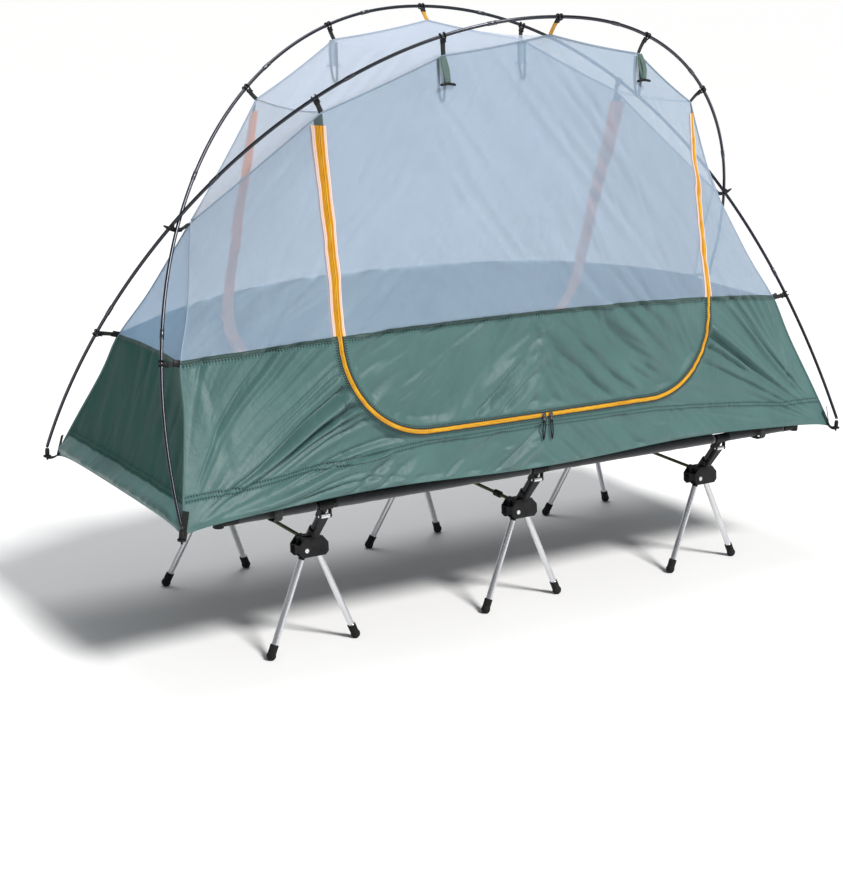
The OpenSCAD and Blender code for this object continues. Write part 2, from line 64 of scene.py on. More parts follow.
# ---------- numbers shared with the CAD, in mm
SKIN_X, SKIN_Y, APEX_X, APEX_H, FLOOR_H = 1034.0, 350.0, 838.0, 651.0, 24.0
RIDGE_U = [0.0, 0.36, 0.69, 1.0]                     # clips along the ridge, as shares of APEX_X
RIDGE_H = [1103.0, 1055.0, 918.0, APEX_H]
RIDGE_Y = [266.0, 247.0, 154.0, 0.0]
DOOR_X, DOOR_SILL, DOOR_R = 585.0, 163.0, 230.0
ARC_X, ARC_H = DOOR_X - DOOR_R, DOOR_SILL + DOOR_R
ZIP_TOP = 888.0
POLE_SPAN, POLE_FEET, POLE_RISE, POLE_TOP = 2100.0, 770.0, 1142.0, 594.0
POLE_R, POLE_BOW, POLE_CURVE, POLE_SQUARE, POLE_END, POLE_PARTS = 4.3, 5.0, 1.74, 2.06, 0.985, 9
CROSS_AT = (POLE_TOP / (POLE_TOP + POLE_FEET)) ** (1 / POLE_CURVE)
CLIP_AT = [0.0, 0.1865, 0.3817, 0.8016]
LOW_CLIP_H = 354.0
HUB_X, FLOOR_LOOP_X = 640, 780

# ---------- levels taken from the frame, and numbers of the looks alone, in mm
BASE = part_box("tub_floor")[0].z * 1000 - FLOOR_H     # level of the poles' feet
RAIL_Z = (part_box("rail_front")[0].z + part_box("rail_front")[1].z) * 500
RAIL_Y = (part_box("rail_back")[0].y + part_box("rail_back")[1].y) * 500
SEAM_END, TUB_SEAM_END = 352.0, 84.0                 # heights of the two seams at the corners
HEM_H = 22.0
ZIP_GAP = 7.0                                        # from the zip's line to the edge of the cloth
PULL_REACH = 430                                     # the slider pulls never hang further out than this
PULL_SPLAY, PULL_LEAN, PULL_DROP = 2.5, 5.0, 48.0
RAIL_R, SLEEVE_R, SLEEVE_INSET, SADDLE_GAP = 9.5, 11.2, 48, 27


# ---------- numbers and noise
def smooth(t):
    t = np.clip(t, 0, 1)
    return t * t * (3 - 2 * t)


def alike(a, b):
    """Both values as arrays of one shape."""
    return np.broadcast_arrays(np.asarray(a, float), np.asarray(b, float))


def partway(a, b, share):
    return a * (1 - share) + b * share


def cell(ix, iy, seed):
    """A whole-number hash as a value from -1 to 1."""
    h = (ix * 374761393 + iy * 668265263 + seed * 974634777) & 0xFFFFFFFF
    h = ((h ^ (h >> 13)) * 1274126177) & 0xFFFFFFFF
    return ((h ^ (h >> 16)) & 0xFFFF) / 32767.5 - 1.0


def noise2(x, y, seed=0):
    """Smooth noise from -1 to 1, the same on every run."""
    x, y = alike(x, y)
    ix, iy = np.floor(x).astype(np.int64), np.floor(y).astype(np.int64)
    sx, sy = smooth(x - ix), smooth(y - iy)
    low = partway(cell(ix, iy, seed), cell(ix + 1, iy, seed), sx)
    high = partway(cell(ix, iy + 1, seed), cell(ix + 1, iy + 1, seed), sx)
    return partway(low, high, sy)


def crest(n):
    """Turns soft noise into narrow folds with a rounded top."""
    return 1 - 2 * np.sqrt(n * n + 0.012)


def spread(*values):
    """Points or pairs from their coordinates. A coordinate may be one number for all of them."""
    return np.stack(np.broadcast_arrays(*(np.asarray(v, float) for v in values)), -1)


def steps(count):
    """Shares from 0 to 1 as a column, to multiply points by."""
    return np.linspace(0, 1, count)[:, None]


def valleys(n):
    """Turns soft noise into rounded folds with narrow valleys between them."""
    return 2 * np.sqrt(n * n + 0.010) - 0.9


def rows_of_puckers(along, off, cell_size, reach, seed):
    """Cloth drawn up by a row of stitches: short ruffles across the seam, dying away from it."""
    ruffles = noise2(along / cell_size, off / (reach * 4), seed)
    return ruffles * np.exp(-(off / reach) ** 2) * (0.7 + 0.5 * noise2(along / 70, 0.3, seed + 1))


def grain(x, h, degrees, across, along, seed):
    """Folds that run one way."""
    a = math.radians(degrees)
    along_h, along_x = math.cos(a), math.sin(a)
    return noise2((h * along_h - x * along_x) / across, (x * along_h + h * along_x) / along, seed)


# ---------- the tent's skin
def ridge(u, values, sag):
    """A ridge value between the clips, where the cloth's edge hangs a little inwards."""
    a = np.abs(u)
    k = np.clip(np.searchsorted(RIDGE_U, a, side="right") - 1, 0, 2)
    low, high = np.take(RIDGE_U, k), np.take(RIDGE_U, k + 1)
    f = np.clip((a - low) / (high - low), 0, 1)
    return np.interp(a, RIDGE_U, values) - sag * 4 * f * (1 - f)


def ridge_h(u):
    return ridge(u, RIDGE_H, 3.5)


def ridge_y(u):
    return ridge(u, RIDGE_Y, 3)


def ridge_over(x):
    """Height of the ridge above a place along the tent."""
    return ridge_h(np.asarray(x) / APEX_X)


def eased(u, values):
    """The ridge with its corners at the clips rounded off, as the cloth runs a little below it."""
    window = np.minimum(0.15, 1 - np.minimum(np.abs(u), 1))
    shifts = (-1, -0.66, -0.33, 0, 0.33, 0.66, 1)
    return sum(np.interp(np.abs(u + k * window), RIDGE_U, values) for k in shifts) / len(shifts)


def skin_uv(x, h):
    """Shares along and up a long wall. The wall narrows upwards, so they are found by repeated averaging."""
    u = x / SKIN_X
    for _ in range(14):
        v = (h - FLOOR_H) / (eased(u, RIDGE_H) - FLOOR_H)
        u = (u + x / (SKIN_X - (SKIN_X - APEX_X) * v)) / 2
    return u, (h - FLOOR_H) / (eased(u, RIDGE_H) - FLOOR_H)


def skin_y(x, h):
    """Distance of a long wall's smooth surface from the tent's middle plane."""
    def below(x, h):
        u, v = skin_uv(x, h)
        return SKIN_Y + (eased(u, RIDGE_Y) - SKIN_Y) * v
    top = ridge_over(x)
    at_ridge = ridge_y(x / APEX_X) - below(x, top)
    return below(x, h) + at_ridge * smooth(1 - (top - h) / 150) * (np.abs(x) < APEX_X)


def seam_h(x):
    """Height of the seam between the long walls' cloth and their mesh."""
    return LOW_CLIP_H + 70 * (1 - np.minimum(np.abs(x) / 946, 1) ** 2.6)


def tub_seam_h(x):
    """Height of the floor's seam, which dips towards the corners."""
    return np.interp(np.abs(x), [0, 366, 671, 858, 1034], [140, 134, 108, 86, 84])


def hem_h(x):
    """Height of the long walls' bottom edge, on the deck."""
    a = np.abs(x) / SKIN_X
    return HEM_H + 15 * np.sin(np.pi * np.clip(a, 0, 1)) ** 2 + 6 * (1 - a)


def zip_place(x, h):
    """(distance outside the zip's line, distance along it from the middle of the sill)"""
    qx, qh = np.abs(x) - ARC_X, ARC_H - h
    out = np.hypot(np.maximum(qx, 0), np.maximum(qh, 0)) + np.minimum(np.maximum(qx, qh), 0) - DOOR_R
    turn = np.arctan2(np.maximum(qx, 0), np.maximum(qh, 1e-6))
    turn = np.where((qx > 0) & (qh > 0), turn, np.where(qh > 0, 0, np.pi / 2))
    along = np.sign(x) * (np.minimum(np.abs(x), ARC_X) + DOOR_R * turn + np.maximum(h - ARC_H, 0))
    return out, along


def corner_fan(x, h, seed):
    """Tension folds that spread from the nearer bottom corner of a long wall."""
    dx, dh = SKIN_X + 12 - np.abs(x), h - 8
    r = np.hypot(dx, dh)
    angle = np.degrees(np.arctan2(dh, dx))
    shift = np.where(x > 0, 37.3, 0.0)
    angle = angle + 2.6 * noise2(r / 230, angle / 25 + shift, seed)
    wide = valleys(noise2(angle / 4.6 + shift, r / 900, seed + 1))
    fine = valleys(noise2(angle / 2.1 + shift, r / 480, seed + 2))
    life = 0.80 + 0.40 * noise2(angle / 6 + shift, r / 420, seed + 3)
    size = np.clip(r / 300, 0, 1.25) * smooth((r - 30) / 120) * np.where(x > 0, 0.66, 1.0)
    return size * life * (16 * wide + 8 * fine * smooth((r - 200) / 240) * smooth((900 - r) / 300))


def slanted(x, h, degrees, across, along, seed):
    """Folds that lean inwards to the top on both halves of a wall."""
    left, right = smooth(-x / 240 + 0.5), smooth(x / 240 + 0.5)
    return (grain(x, h, degrees, across, along, seed) * left
            + grain(x, h, 180 - degrees, across, along, seed + 1) * right)


def relief(x, h, side):
    """How far the long walls' cloth stands out of its smooth surface."""
    seed = 20 if side < 0 else 60
    x, h = alike(x, h)
    seam, tub_seam = seam_h(x), tub_seam_h(x)
    green = smooth((seam - h) / 14 + 0.5)
    below = smooth((tub_seam - h) / 16 + 0.5)
    out, along = zip_place(x, h)
    crumpled = 0.5 + 0.5 * noise2(x / 150, h / 110, seed + 2)

    def folds(degrees, across, length, number):
        return valleys(slanted(x, h, degrees, across, length, seed + number))

    # inside the zip: the door, with deeper folds on its left half
    door = 13 * folds(40, 50, 460, 4) + 4.5 * crumpled * folds(58, 19, 210, 6)
    door += 4.5 * (1 - crumpled) * folds(30, 22, 170, 8)
    inside = smooth((-out - 5) / 30) * (1 + 0.6 * smooth(0.5 - x / 240))
    # outside it: folds that spread from the bottom corners, and upright ones near the ends
    far = corner_fan(x, h, seed + 30) + 3.2 * crumpled * folds(44, 18, 260, 14)
    upright = 6.5 * valleys(noise2(np.abs(x) / 30 + h / 900, h / 500 + np.sign(x) * 3, seed + 15))
    far += upright * smooth((np.abs(x) - 0.18 * h - 790) / 130) * smooth((h - 70) / 130)
    beyond = smooth((out - 6) / 24)
    # below the floor's seam: the skirt, which has folds of its own except near the ends
    skirt = 12 * folds(32, 46, 420, 10) + 3.2 * folds(40, 22, 200, 12)
    middle = 1 - 0.9 * smooth((np.abs(x) - 480) / 260)
    calm = 1 - 0.85 * smooth((tub_seam + 30 - h) / 60) * middle
    tub = far * beyond * calm + door * inside + skirt * below * middle
    veil = 2.4 * noise2(x / 170, h / 120, seed + 13) + 4.4 * folds(47, 38, 620, 16)
    veil += 3.2 * crumpled * folds(62, 20, 260, 18)
    d = tub * green + veil * (1 - green)
    # the stitches of the zip and of both seams draw the cloth up, and the skirt swells under them
    zip_reach = np.where(out > 0, 20.0, 12.0)
    d += (0.3 + 2.0 * green) * rows_of_puckers(along, out, 9.0, zip_reach, seed + 20)
    d += 1.5 * green * rows_of_puckers(x, h - seam, 10.0, 16.0, seed + 22)
    d += 2.0 * rows_of_puckers(x, h - tub_seam, 9.0, 13.0, seed + 24)
    d += 7 * np.exp(-((h - tub_seam + 42) / 34) ** 2) * green * smooth((hem_h(x) + 60 - h) / 60)
    # the slider pulls hang in front of the cloth under the sill, so it can't stand far out there
    under_sill = smooth((h - 88) / 11) * smooth((DOOR_SILL + 14 - h) / 14)
    under_pulls = smooth((PULL_REACH - np.abs(x)) / 50) * under_sill
    d = d - under_pulls * np.maximum(d - 2.5, 0)
    u = skin_uv(x, h)[0]
    edge = smooth((1 - np.abs(u)) * 14) * smooth((ridge_over(x) - h) / 90) * smooth((h - hem_h(x)) / 14)
    return d * edge


def tab_pull(h):
    """How far the low clips pull the corner seams outwards."""
    return 16 * np.exp(-((h - LOW_CLIP_H) / 75) ** 2)


def corner_drop(x, y, h):
    """How far the corner tabs pull the tub's bottom corners down."""
    away = np.maximum(SKIN_X - np.abs(x), 0) + np.maximum(SKIN_Y - np.abs(y), 0) + 0.8 * np.abs(h - FLOOR_H)
    return 16 * np.exp(-away / 55)


def wall(x, h, side, lift=0.0):
    """Points of a long wall, or of a strip that lies on it."""
    x, h = alike(x, h)
    u = skin_uv(x, h)[0]
    y = skin_y(x, h) + relief(x, h, side) + lift
    pull = tab_pull(h) * np.exp(-(1 - np.abs(u)) * 9)
    drop = corner_drop(u * SKIN_X, SKIN_Y, h)
    return np.stack([x + np.sign(x) * pull, side * y, BASE + h - drop], -1)


def end_relief(y, h, end):
    """How far an end wall's cloth stands out. Its lowest band swells over the end bar."""
    seed = 100 if end < 0 else 130
    t = np.clip((h - FLOOR_H) / (APEX_H - FLOOR_H), 0, 1)
    half = SKIN_Y * (1 - t)
    green = smooth((SEAM_END - h) / 20 + 0.5)
    hanging = valleys(noise2(y / 30 + h / 300, h / 240, seed + 1))
    d = green * (3.0 * valleys(grain(y, h, 84, 46, 380, seed)) + 2.4 * hanging)
    d += (1 - green) * 2.0 * grain(y, h, 80, 60, 420, seed + 2)
    for line, depth in ((SEAM_END, 1.2), (TUB_SEAM_END, 1.0)):
        d += depth * noise2(y / 8, (h - line) / 70, seed + 3) * np.exp(-np.abs(h - line) / 15) * green
    d += 30 * np.exp(-((h - 50) / 21) ** 2)
    return d * smooth((half - np.abs(y)) / 40) * smooth((h - 20) / 20)


def end_wall(y, h, end, lift=0.0):
    """Points of an end wall, or of a strip that lies on it."""
    y, h = alike(y, h)
    t = (h - FLOOR_H) / (APEX_H - FLOOR_H)
    half = np.maximum(SKIN_Y * (1 - t), 1)
    pull = tab_pull(h) * np.exp(-(1 - np.abs(y) / half) * half / 90)
    x = SKIN_X - (SKIN_X - APEX_X) * t + pull + end_relief(y, h, end) + lift
    drop = corner_drop(SKIN_X, SKIN_Y - (half - np.abs(y)), h)
    return np.stack([end * x, y, BASE + h - drop], -1)


# ---------- meshes
def add(name, data):
    """A new object in the scene."""
    obj = bpy.data.objects.new(name, data)
    scene.collection.objects.link(obj)
    return obj


def make(name, points, faces, material, slot, body=ROOT, uv=None):
    """A mesh from millimetre points, riding on a body."""
    mesh = bpy.data.meshes.new(name)
    mesh.from_pydata((np.asarray(points, float).reshape(-1, 3) / 1000).tolist(), [], faces)
    mesh.polygons.foreach_set("use_smooth", [True] * len(mesh.polygons))
    if uv is not None:
        layer = mesh.uv_layers.new(name="along_across")
        corner = np.empty(len(mesh.loops), np.int64)
        mesh.loops.foreach_get("vertex_index", corner)
        layer.data.foreach_set("uv", (np.asarray(uv, float).reshape(-1, 2)[corner] / 1000).ravel())
    mesh.materials.append(material)
    mesh.update()
    obj = add(name, mesh)
    if body:
        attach(obj, body)
    return obj


def grid_faces(rows, columns, start=0, turned=False):
    faces = []
    for i in range(rows - 1):
        for j in range(columns - 1):
            a = start + i * columns + j
            quad = (a, a + 1, a + columns + 1, a + columns)
            faces.append(quad[::-1] if turned else quad)
    return faces


def between(low, high, rows):
    """Grid of (across, height) pairs from the low line up to the high line."""
    return partway(np.asarray(low)[None], np.asarray(high)[None], steps(rows)[:, None])


def cloth_panel(name, grids, surface, material, slot, body=ROOT, turned=False):
    """One sheet from one or more grids laid on a surface function."""
    points, faces = [], []
    for g in grids:
        faces += grid_faces(g.shape[0], g.shape[1], sum(len(p) for p in points), turned)
        points.append(surface(g[..., 0], g[..., 1]).reshape(-1, 3))
    return make(name, np.concatenate(points), faces, material, slot, body)


def lets_light_in(*pieces):
    """Mesh passes nearly all the daylight, so it casts no shadow on what is inside."""
    for piece in pieces:
        piece.visible_shadow = False


def unit(v):
    v = np.asarray(v, float)
    return v / np.maximum(np.linalg.norm(v, axis=-1, keepdims=True), 1e-12)


def tangents(path):
    return unit(np.gradient(np.asarray(path, float), axis=0))


def run_along(path):
    """Distance of each point of a path from its start."""
    return np.concatenate([[0], np.cumsum(np.linalg.norm(np.diff(path, axis=0), axis=1))])


def loft(rings, sides, turned=False):
    """Faces of a closed tube through rings of points, with both of its ends."""
    faces = []
    for i in range(rings - 1):
        for k in range(sides):
            a, b = i * sides + k, i * sides + (k + 1) % sides
            faces.append((a, a + sides, b + sides, b) if turned else (a, b, b + sides, a + sides))
    first, last = tuple(range(sides)), tuple((rings - 1) * sides + k for k in range(sides))
    return faces + ([first, last[::-1]] if turned else [first[::-1], last])


def tube(path, radius, sides=12, up=(0, 1, 0), squash=1.0):
    """(points, faces) of a closed tube along a path. radius is a number or one for each point."""
    path = np.asarray(path, float)
    t = tangents(path)
    side = unit(np.cross(t, np.broadcast_to(up, t.shape)))
    top = np.cross(side, t)
    a = np.arange(sides) * 2 * np.pi / sides
    cos, sin = np.cos(a)[None, :, None], np.sin(a)[None, :, None]
    r = np.broadcast_to(radius, len(path))[:, None, None]
    rings = path[:, None] + r * (cos * side[:, None] + squash * sin * top[:, None])
    return rings.reshape(-1, 3), loft(len(path), sides)


def webbing(path, across, width, thick=1.5):
    """(points, faces, uv) of a flat strap: across is its width direction, one or one for each point."""
    path = np.asarray(path, float)
    t = tangents(path)
    w = np.broadcast_to(np.asarray(across, float), path.shape)
    w = unit(w - t * (w * t).sum(-1, keepdims=True))
    n = np.cross(t, w)
    profile = np.array([(-0.5, -0.3), (-0.47, 0.5), (-0.2, 0.62), (0.2, 0.62),
                        (0.47, 0.5), (0.5, -0.3), (0.2, -0.5), (-0.2, -0.5)])
    rings = np.stack([path + a * width * w + b * thick * n for a, b in profile], 1)
    uv = np.stack(np.broadcast_arrays(run_along(path)[:, None], profile[None, :, 0] * width), -1)
    return rings.reshape(-1, 3), loft(len(path), len(profile), True), uv.reshape(-1, 2)


def gather(name, parts, material, slot, body=ROOT):
    """One piece from several (points, faces[, uv]) parts."""
    points, faces, uvs, start = [], [], [], 0
    for part in parts:
        points.append(np.asarray(part[0]).reshape(-1, 3))
        faces += [tuple(i + start for i in f) for f in part[1]]
        uvs.append(part[2] if len(part) > 2 else np.zeros((len(points[-1]), 2)))
        start += len(points[-1])
    return make(name, np.concatenate(points), faces, material, slot, body, np.concatenate(uvs))


def block(centre, size, axes=None, bevel=0.22):
    """(points, faces) of a box with cut corners. axes are its three directions."""
    axes = np.eye(3) if axes is None else np.asarray(axes, float)
    s = np.asarray(size, float) / 2
    b = bevel * s.min()
    ring = [(-1, -1), (1, -1), (1, 1), (-1, 1)]
    outline = []
    for i, (a, c) in enumerate(ring):
        first = (a * (s[0] - b), c * s[1])
        second = (a * s[0], c * (s[1] - b))
        outline += [first, second] if i % 2 else [second, first]
    cut_x, cut_y = (s[0] - b) / s[0], (s[1] - b) / s[1]
    layers = [(-s[2], cut_x, cut_y), (-s[2] + b, 1, 1), (s[2] - b, 1, 1), (s[2], cut_x, cut_y)]
    points = [(x * kx, y * ky, z) for z, kx, ky in layers for x, y in outline]
    return np.asarray(centre) + np.asarray(points) @ axes, loft(len(layers), len(outline))


# ---------- materials
def graph(name, colour, rough, metallic=0.0, sheen=0.0, alpha=1.0, specular=0.5):
    """A material and its shader, with the values that are the same all over the surface."""
    m = bpy.data.materials.new(name)
    m.use_nodes = True
    shader = m.node_tree.nodes["Principled BSDF"]
    for key, value in (("Base Color", (*colour, 1)), ("Roughness", rough), ("Metallic", metallic),
                       ("Sheen Weight", sheen), ("Sheen Roughness", 0.45), ("Alpha", alpha),
                       ("Specular IOR Level", specular)):
        shader.inputs[key].default_value = value
    return m, shader


def node(near, kind, **values):
    """A new node in the tree of another node or socket, with its inputs or settings."""
    n = near.id_data.nodes.new(kind)
    for key, value in values.items():
        if key in n.inputs:
            n.inputs[key].default_value = value
        else:
            setattr(n, key, value)
    return n


def link(source, target):
    source.id_data.links.new(source, target)


def ramp(source, low, high, to_low=0.0, to_high=1.0):
    """A source from low to high, stretched and cut to another range."""
    r = node(source, "ShaderNodeMapRange", **{"From Min": low, "From Max": high,
                                              "To Min": to_low, "To Max": to_high})
    link(source, r.inputs["Value"])
    return r.outputs["Result"]


def combine(a, b, how="ADD"):
    """Maths on a socket and another socket or a number."""
    m = node(a, "ShaderNodeMath", operation=how)
    link(a, m.inputs[0])
    if isinstance(b, (int, float)):
        m.inputs[1].default_value = b
    else:
        link(b, m.inputs[1])
    return m.outputs[0]


def times(a, b):
    return combine(a, b, "MULTIPLY")


def tint(shader, source, dark, light):
    """Base colour between two, by a source. dark may be another mix's result."""
    mix = node(shader, "ShaderNodeMix", data_type="RGBA")
    if isinstance(dark, bpy.types.NodeSocket):
        link(dark, mix.inputs["A"])
    else:
        mix.inputs["A"].default_value = (*dark, 1)
    mix.inputs["B"].default_value = (*light, 1)
    link(source, mix.inputs["Factor"])
    link(mix.outputs["Result"], shader.inputs["Base Color"])
    return mix.outputs["Result"]


def bump(shader, height, distance, strength=1.0):
    b = node(shader, "ShaderNodeBump", Distance=distance, Strength=strength)
    link(height, b.inputs["Height"])
    link(b.outputs["Normal"], shader.inputs["Normal"])


def place(shader, which="Object", scale=(1, 1, 1), turn=(0, 0, 0)):
    """The piece's own coordinates or its UV map, scaled and turned."""
    c = node(shader, "ShaderNodeTexCoord")
    m = node(shader, "ShaderNodeMapping", Scale=scale, Rotation=turn)
    link(c.outputs[which], m.inputs["Vector"])
    return m.outputs["Vector"]


def waves(where, axis, pitch, distort=0.0):
    """Bands across an axis, pitch metres apart."""
    w = node(where, "ShaderNodeTexWave", wave_type="BANDS", bands_direction=axis,
             Scale=0.31416 / pitch, Distortion=distort)
    link(where, w.inputs["Vector"])
    return w.outputs["Fac"]


def clouds(where, scale, detail=3.0, rough=0.55):
    n = node(where, "ShaderNodeTexNoise", Scale=scale, Detail=detail, Roughness=rough)
    link(where, n.inputs["Vector"])
    return n.outputs["Fac"]


def woven(name, dark, light, rough, pitch, depth, sheen=0.3, alpha=1.0, crinkle=0.0006, across="XZ",
          open_share=0.0, gloss=0.5):
    """Cloth: two sets of threads, soft colour change, and small creases."""
    m, shader = graph(name, light, rough, sheen=sheen, alpha=alpha, specular=gloss)
    where = place(shader)
    threads = times(waves(where, across[0], pitch), waves(where, across[1], pitch))
    patches = clouds(where, 7, 4)
    fine = clouds(place(shader, scale=(60, 60, 26), turn=(0.3, 0.5, 0.2)), 1.0, 4, 0.62)
    shade = combine(patches, times(threads, 0.25))
    tint(shader, ramp(shade, 0.35, 0.85), dark, light)
    bump(shader, combine(times(fine, crinkle), times(threads, depth)), 1.0, 0.9)
    if open_share:
        holes = ramp(threads, 0.0, 0.6, alpha - open_share, alpha + open_share * 0.6)
        link(holes, shader.inputs["Alpha"])
    link(ramp(patches, 0.3, 0.7, rough - 0.05, rough + 0.06), shader.inputs["Roughness"])
    return m


def strapping(name, dark, light, pitch=1.1):
    """Webbing: ribs across the strap and cords along it, from its own along/across coordinates."""
    m, shader = graph(name, light, 0.72, sheen=0.12, specular=0.3)
    where = place(shader, "UV")
    cords = times(waves(where, "Y", pitch / 1500), 0.6)
    both = combine(waves(where, "X", pitch / 1000, 0.4), cords)
    tint(shader, ramp(combine(both, clouds(where, 90)), 0.5, 2.0), dark, light)
    bump(shader, both, 0.0004)
    return m


def stitched(name, dark, light, thread_and_pucker_shade, rows, pitch=4.2, rough=0.6, breadth=1.0, ruffle=0.0, sheen=0.12):
    """A folded hem. rows are the distances of its stitches across the strip, ruffle the size of gathers. At a
    breadth of 2 and more the dark dashes are painted shade of the puckers, not thread.
    """
    m, shader = graph(name, light, rough, sheen=sheen, specular=0.3)
    where = place(shader, "UV")
    split = node(shader, "ShaderNodeSeparateXYZ")
    link(where, split.inputs[0])
    dash = ramp(waves(where, "X", pitch / 1000), 0.25, 0.4)
    line = None
    for at in rows:
        off = combine(combine(split.outputs["Y"], at / 1000, "SUBTRACT"), 0, "ABSOLUTE")
        near = ramp(off, 0.0003 * breadth, 0.0009 * breadth, 1, 0)
        line = near if line is None else combine(line, near, "MAXIMUM")
    # the dashes: thread at a breadth under 2, painted shade of the seam's puckers at a breadth of 2 and more
    stitch_dashes_and_pucker_shade = times(dash, line)
    cloud = clouds(place(shader), 60)
    tint(shader, stitch_dashes_and_pucker_shade, tint(shader, cloud, dark, light), thread_and_pucker_shade)
    height = combine(combine(times(line, -0.7), stitch_dashes_and_pucker_shade), times(cloud, 0.6))
    if ruffle:
        height = combine(height, times(waves(where, "X", pitch / 1000, 0.8), ruffle))
    bump(shader, height, 0.0008)
    return m


def plastic(name, colour, rough=0.45):
    """Moulded plastic or rubber, a little worn in places."""
    m, shader = graph(name, colour, rough, specular=0.16)
    where = place(shader)
    wear = clouds(where, 22, 5)
    worn = [min(c * 1.7 + 0.012, 1) for c in colour]
    tint(shader, ramp(wear, 0.35, 0.75), colour, worn)
    link(ramp(wear, 0.3, 0.7, rough - 0.08, rough + 0.12), shader.inputs["Roughness"])
    bump(shader, clouds(where, 900, 2), 0.00012)
    return m


def metal(name, colour, rough, streak=0.06, turn=(0, 0, 0), depth=0.00005):
    """Drawn or anodised tube, with fine marks along it."""
    m, shader = graph(name, colour, rough, metallic=1.0)
    marks = clouds(place(shader, scale=(40, 900, 900), turn=turn), 1.0, 3)
    haze = clouds(place(shader), 14, 4)
    dim, bright = [c * 0.86 for c in colour], [min(c * 1.1, 1) for c in colour]
    tint(shader, ramp(marks, 0.3, 0.7), dim, bright)
    uneven = ramp(combine(marks, haze), 0.7, 1.3, rough - streak, rough + streak)
    link(uneven, shader.inputs["Roughness"])
    bump(shader, marks, depth)
    return m


GREEN_DARK, GREEN = (0.055, 0.130, 0.123), (0.073, 0.166, 0.160)
# the end walls' green is painted shade: a darker copy of the long walls' green, for the shade the ends stand
# in
END_PAINTED_SHADE_DARK, END_PAINTED_SHADE_GREEN = (0.016, 0.074, 0.061), (0.024, 0.096, 0.081)
mat_green = woven("green_cloth", GREEN_DARK, GREEN, 0.50, 0.0011, 0.00008, sheen=0.15, crinkle=0.0018)
mat_green_end_painted_shade = woven("green_cloth_ends_painted_shade", END_PAINTED_SHADE_DARK, END_PAINTED_SHADE_GREEN, 0.56, 0.0011, 0.00008, sheen=0.0,
                      crinkle=0.0018, across="YZ", gloss=0.25)
mat_floor = woven("floor_cloth", (0.045, 0.085, 0.078), (0.062, 0.112, 0.102), 0.55, 0.0012, 0.0001,
                  across="XY")
mat_mesh = woven("mesh_cloth", (0.298, 0.402, 0.530), (0.328, 0.437, 0.565), 0.62, 0.0016, 0.0001, 0.20,
                 0.72, 0.0012, "XZ", 0.12)
# the end walls' mesh is a lighter, bluer copy of the mesh colour: painted light, making up for the shade the
# ends stand in
mat_mesh_end_painted_light = woven("mesh_cloth_ends_painted_light", (0.37, 0.60, 0.88), (0.41, 0.64, 0.92), 0.62, 0.0016, 0.0001, 0.25,
                     0.70, 0.0012, "YZ", 0.16)
# the roof's mesh is a lighter copy of the mesh colour: painted glow, standing in for skylight shining through
# it
mat_mesh_roof_painted_glow = woven("mesh_cloth_roof_painted_glow", (0.60, 0.70, 0.88), (0.64, 0.75, 0.92), 0.62, 0.0016, 0.0001, 0.20,
                      0.42, 0.0012, "XY", 0.14)
mat_deck = woven("deck_cloth", (0.018, 0.019, 0.021), (0.036, 0.037, 0.041), 0.68, 0.0014, 0.00016, 0.4,
                 crinkle=0.0008, across="XY")
mat_patch = woven("zip_patch", (0.055, 0.085, 0.090), (0.085, 0.120, 0.125), 0.7, 0.0012, 0.0002)

# sewn strips: dark, light, thread colour (painted pucker shade at a breadth of 2 and more), rows of stitches,
# pitch, roughness, breadth, ruffle, sheen
# the end walls' floor seam is painted shade like the end walls' green, and its dark dashes are painted shade
# of its puckers
mat_end_seam_painted_shade = stitched("end_floor_seam_painted_shade", END_PAINTED_SHADE_DARK, END_PAINTED_SHADE_GREEN, (0.006, 0.022, 0.018), (-4.5, 4.5),
                        7.0, 0.5, 2.2, 0.9, 0.0)
mat_hem = stitched("stitched_green_hem", (0.030, 0.062, 0.056), (0.050, 0.098, 0.090), (0.020, 0.040, 0.036),
                   (-3.0, 3.0))
mat_floor_seam = stitched("floor_seam_cloth", GREEN_DARK, GREEN, (0.014, 0.030, 0.027), (-4.5, 4.5),
                          7.0, 0.5, 2.6, 0.9)
mat_gathers = stitched("gathered_green", GREEN_DARK, GREEN, (0.020, 0.042, 0.038), (-8.0,),
                        7.5, 0.5, 3.0, 0.9)
mat_binding = stitched("zip_binding_green", GREEN_DARK, GREEN, (0.012, 0.026, 0.023), (11.5,),
                       6.4, 0.5, 3.6, 1.2)
mat_piping = stitched("zip_piping", (0.008, 0.016, 0.014), (0.016, 0.030, 0.027), (0.035, 0.070, 0.064),
                      (7.0,), 6.4, 0.7, 1.6, sheen=0.0)
mat_mesh_seam = stitched("mesh_seam", (0.22, 0.29, 0.38), (0.29, 0.37, 0.47), (0.12, 0.16, 0.21), (0.0,), 3.6)
mat_pale_seam = stitched("roof_cross_seam", (0.52, 0.60, 0.74), (0.62, 0.70, 0.84), (0.40, 0.47, 0.60),
                         (0.0,), 3.6)
mat_deck_hem = stitched("deck_hem", (0.016, 0.017, 0.019), (0.030, 0.031, 0.034), (0.10, 0.10, 0.11),
                        (-5.0, 5.0), 4.5)
mat_zip = stitched("zip_tape", (0.62, 0.255, 0.010), (0.76, 0.36, 0.016), (0.42, 0.14, 0.008), (5.6, -5.6),
                   1.4, 0.5)
mat_facing = stitched("zip_facing", (0.86, 0.33, 0.14), (0.90, 0.38, 0.18), (0.60, 0.15, 0.03), (12.0,),
                      2.0, 0.5)
mat_pale = stitched("zip_edge_on_mesh", (0.80, 0.60, 0.54), (0.90, 0.74, 0.68), (0.85, 0.45, 0.25),
                    (0.0,), 3.0)

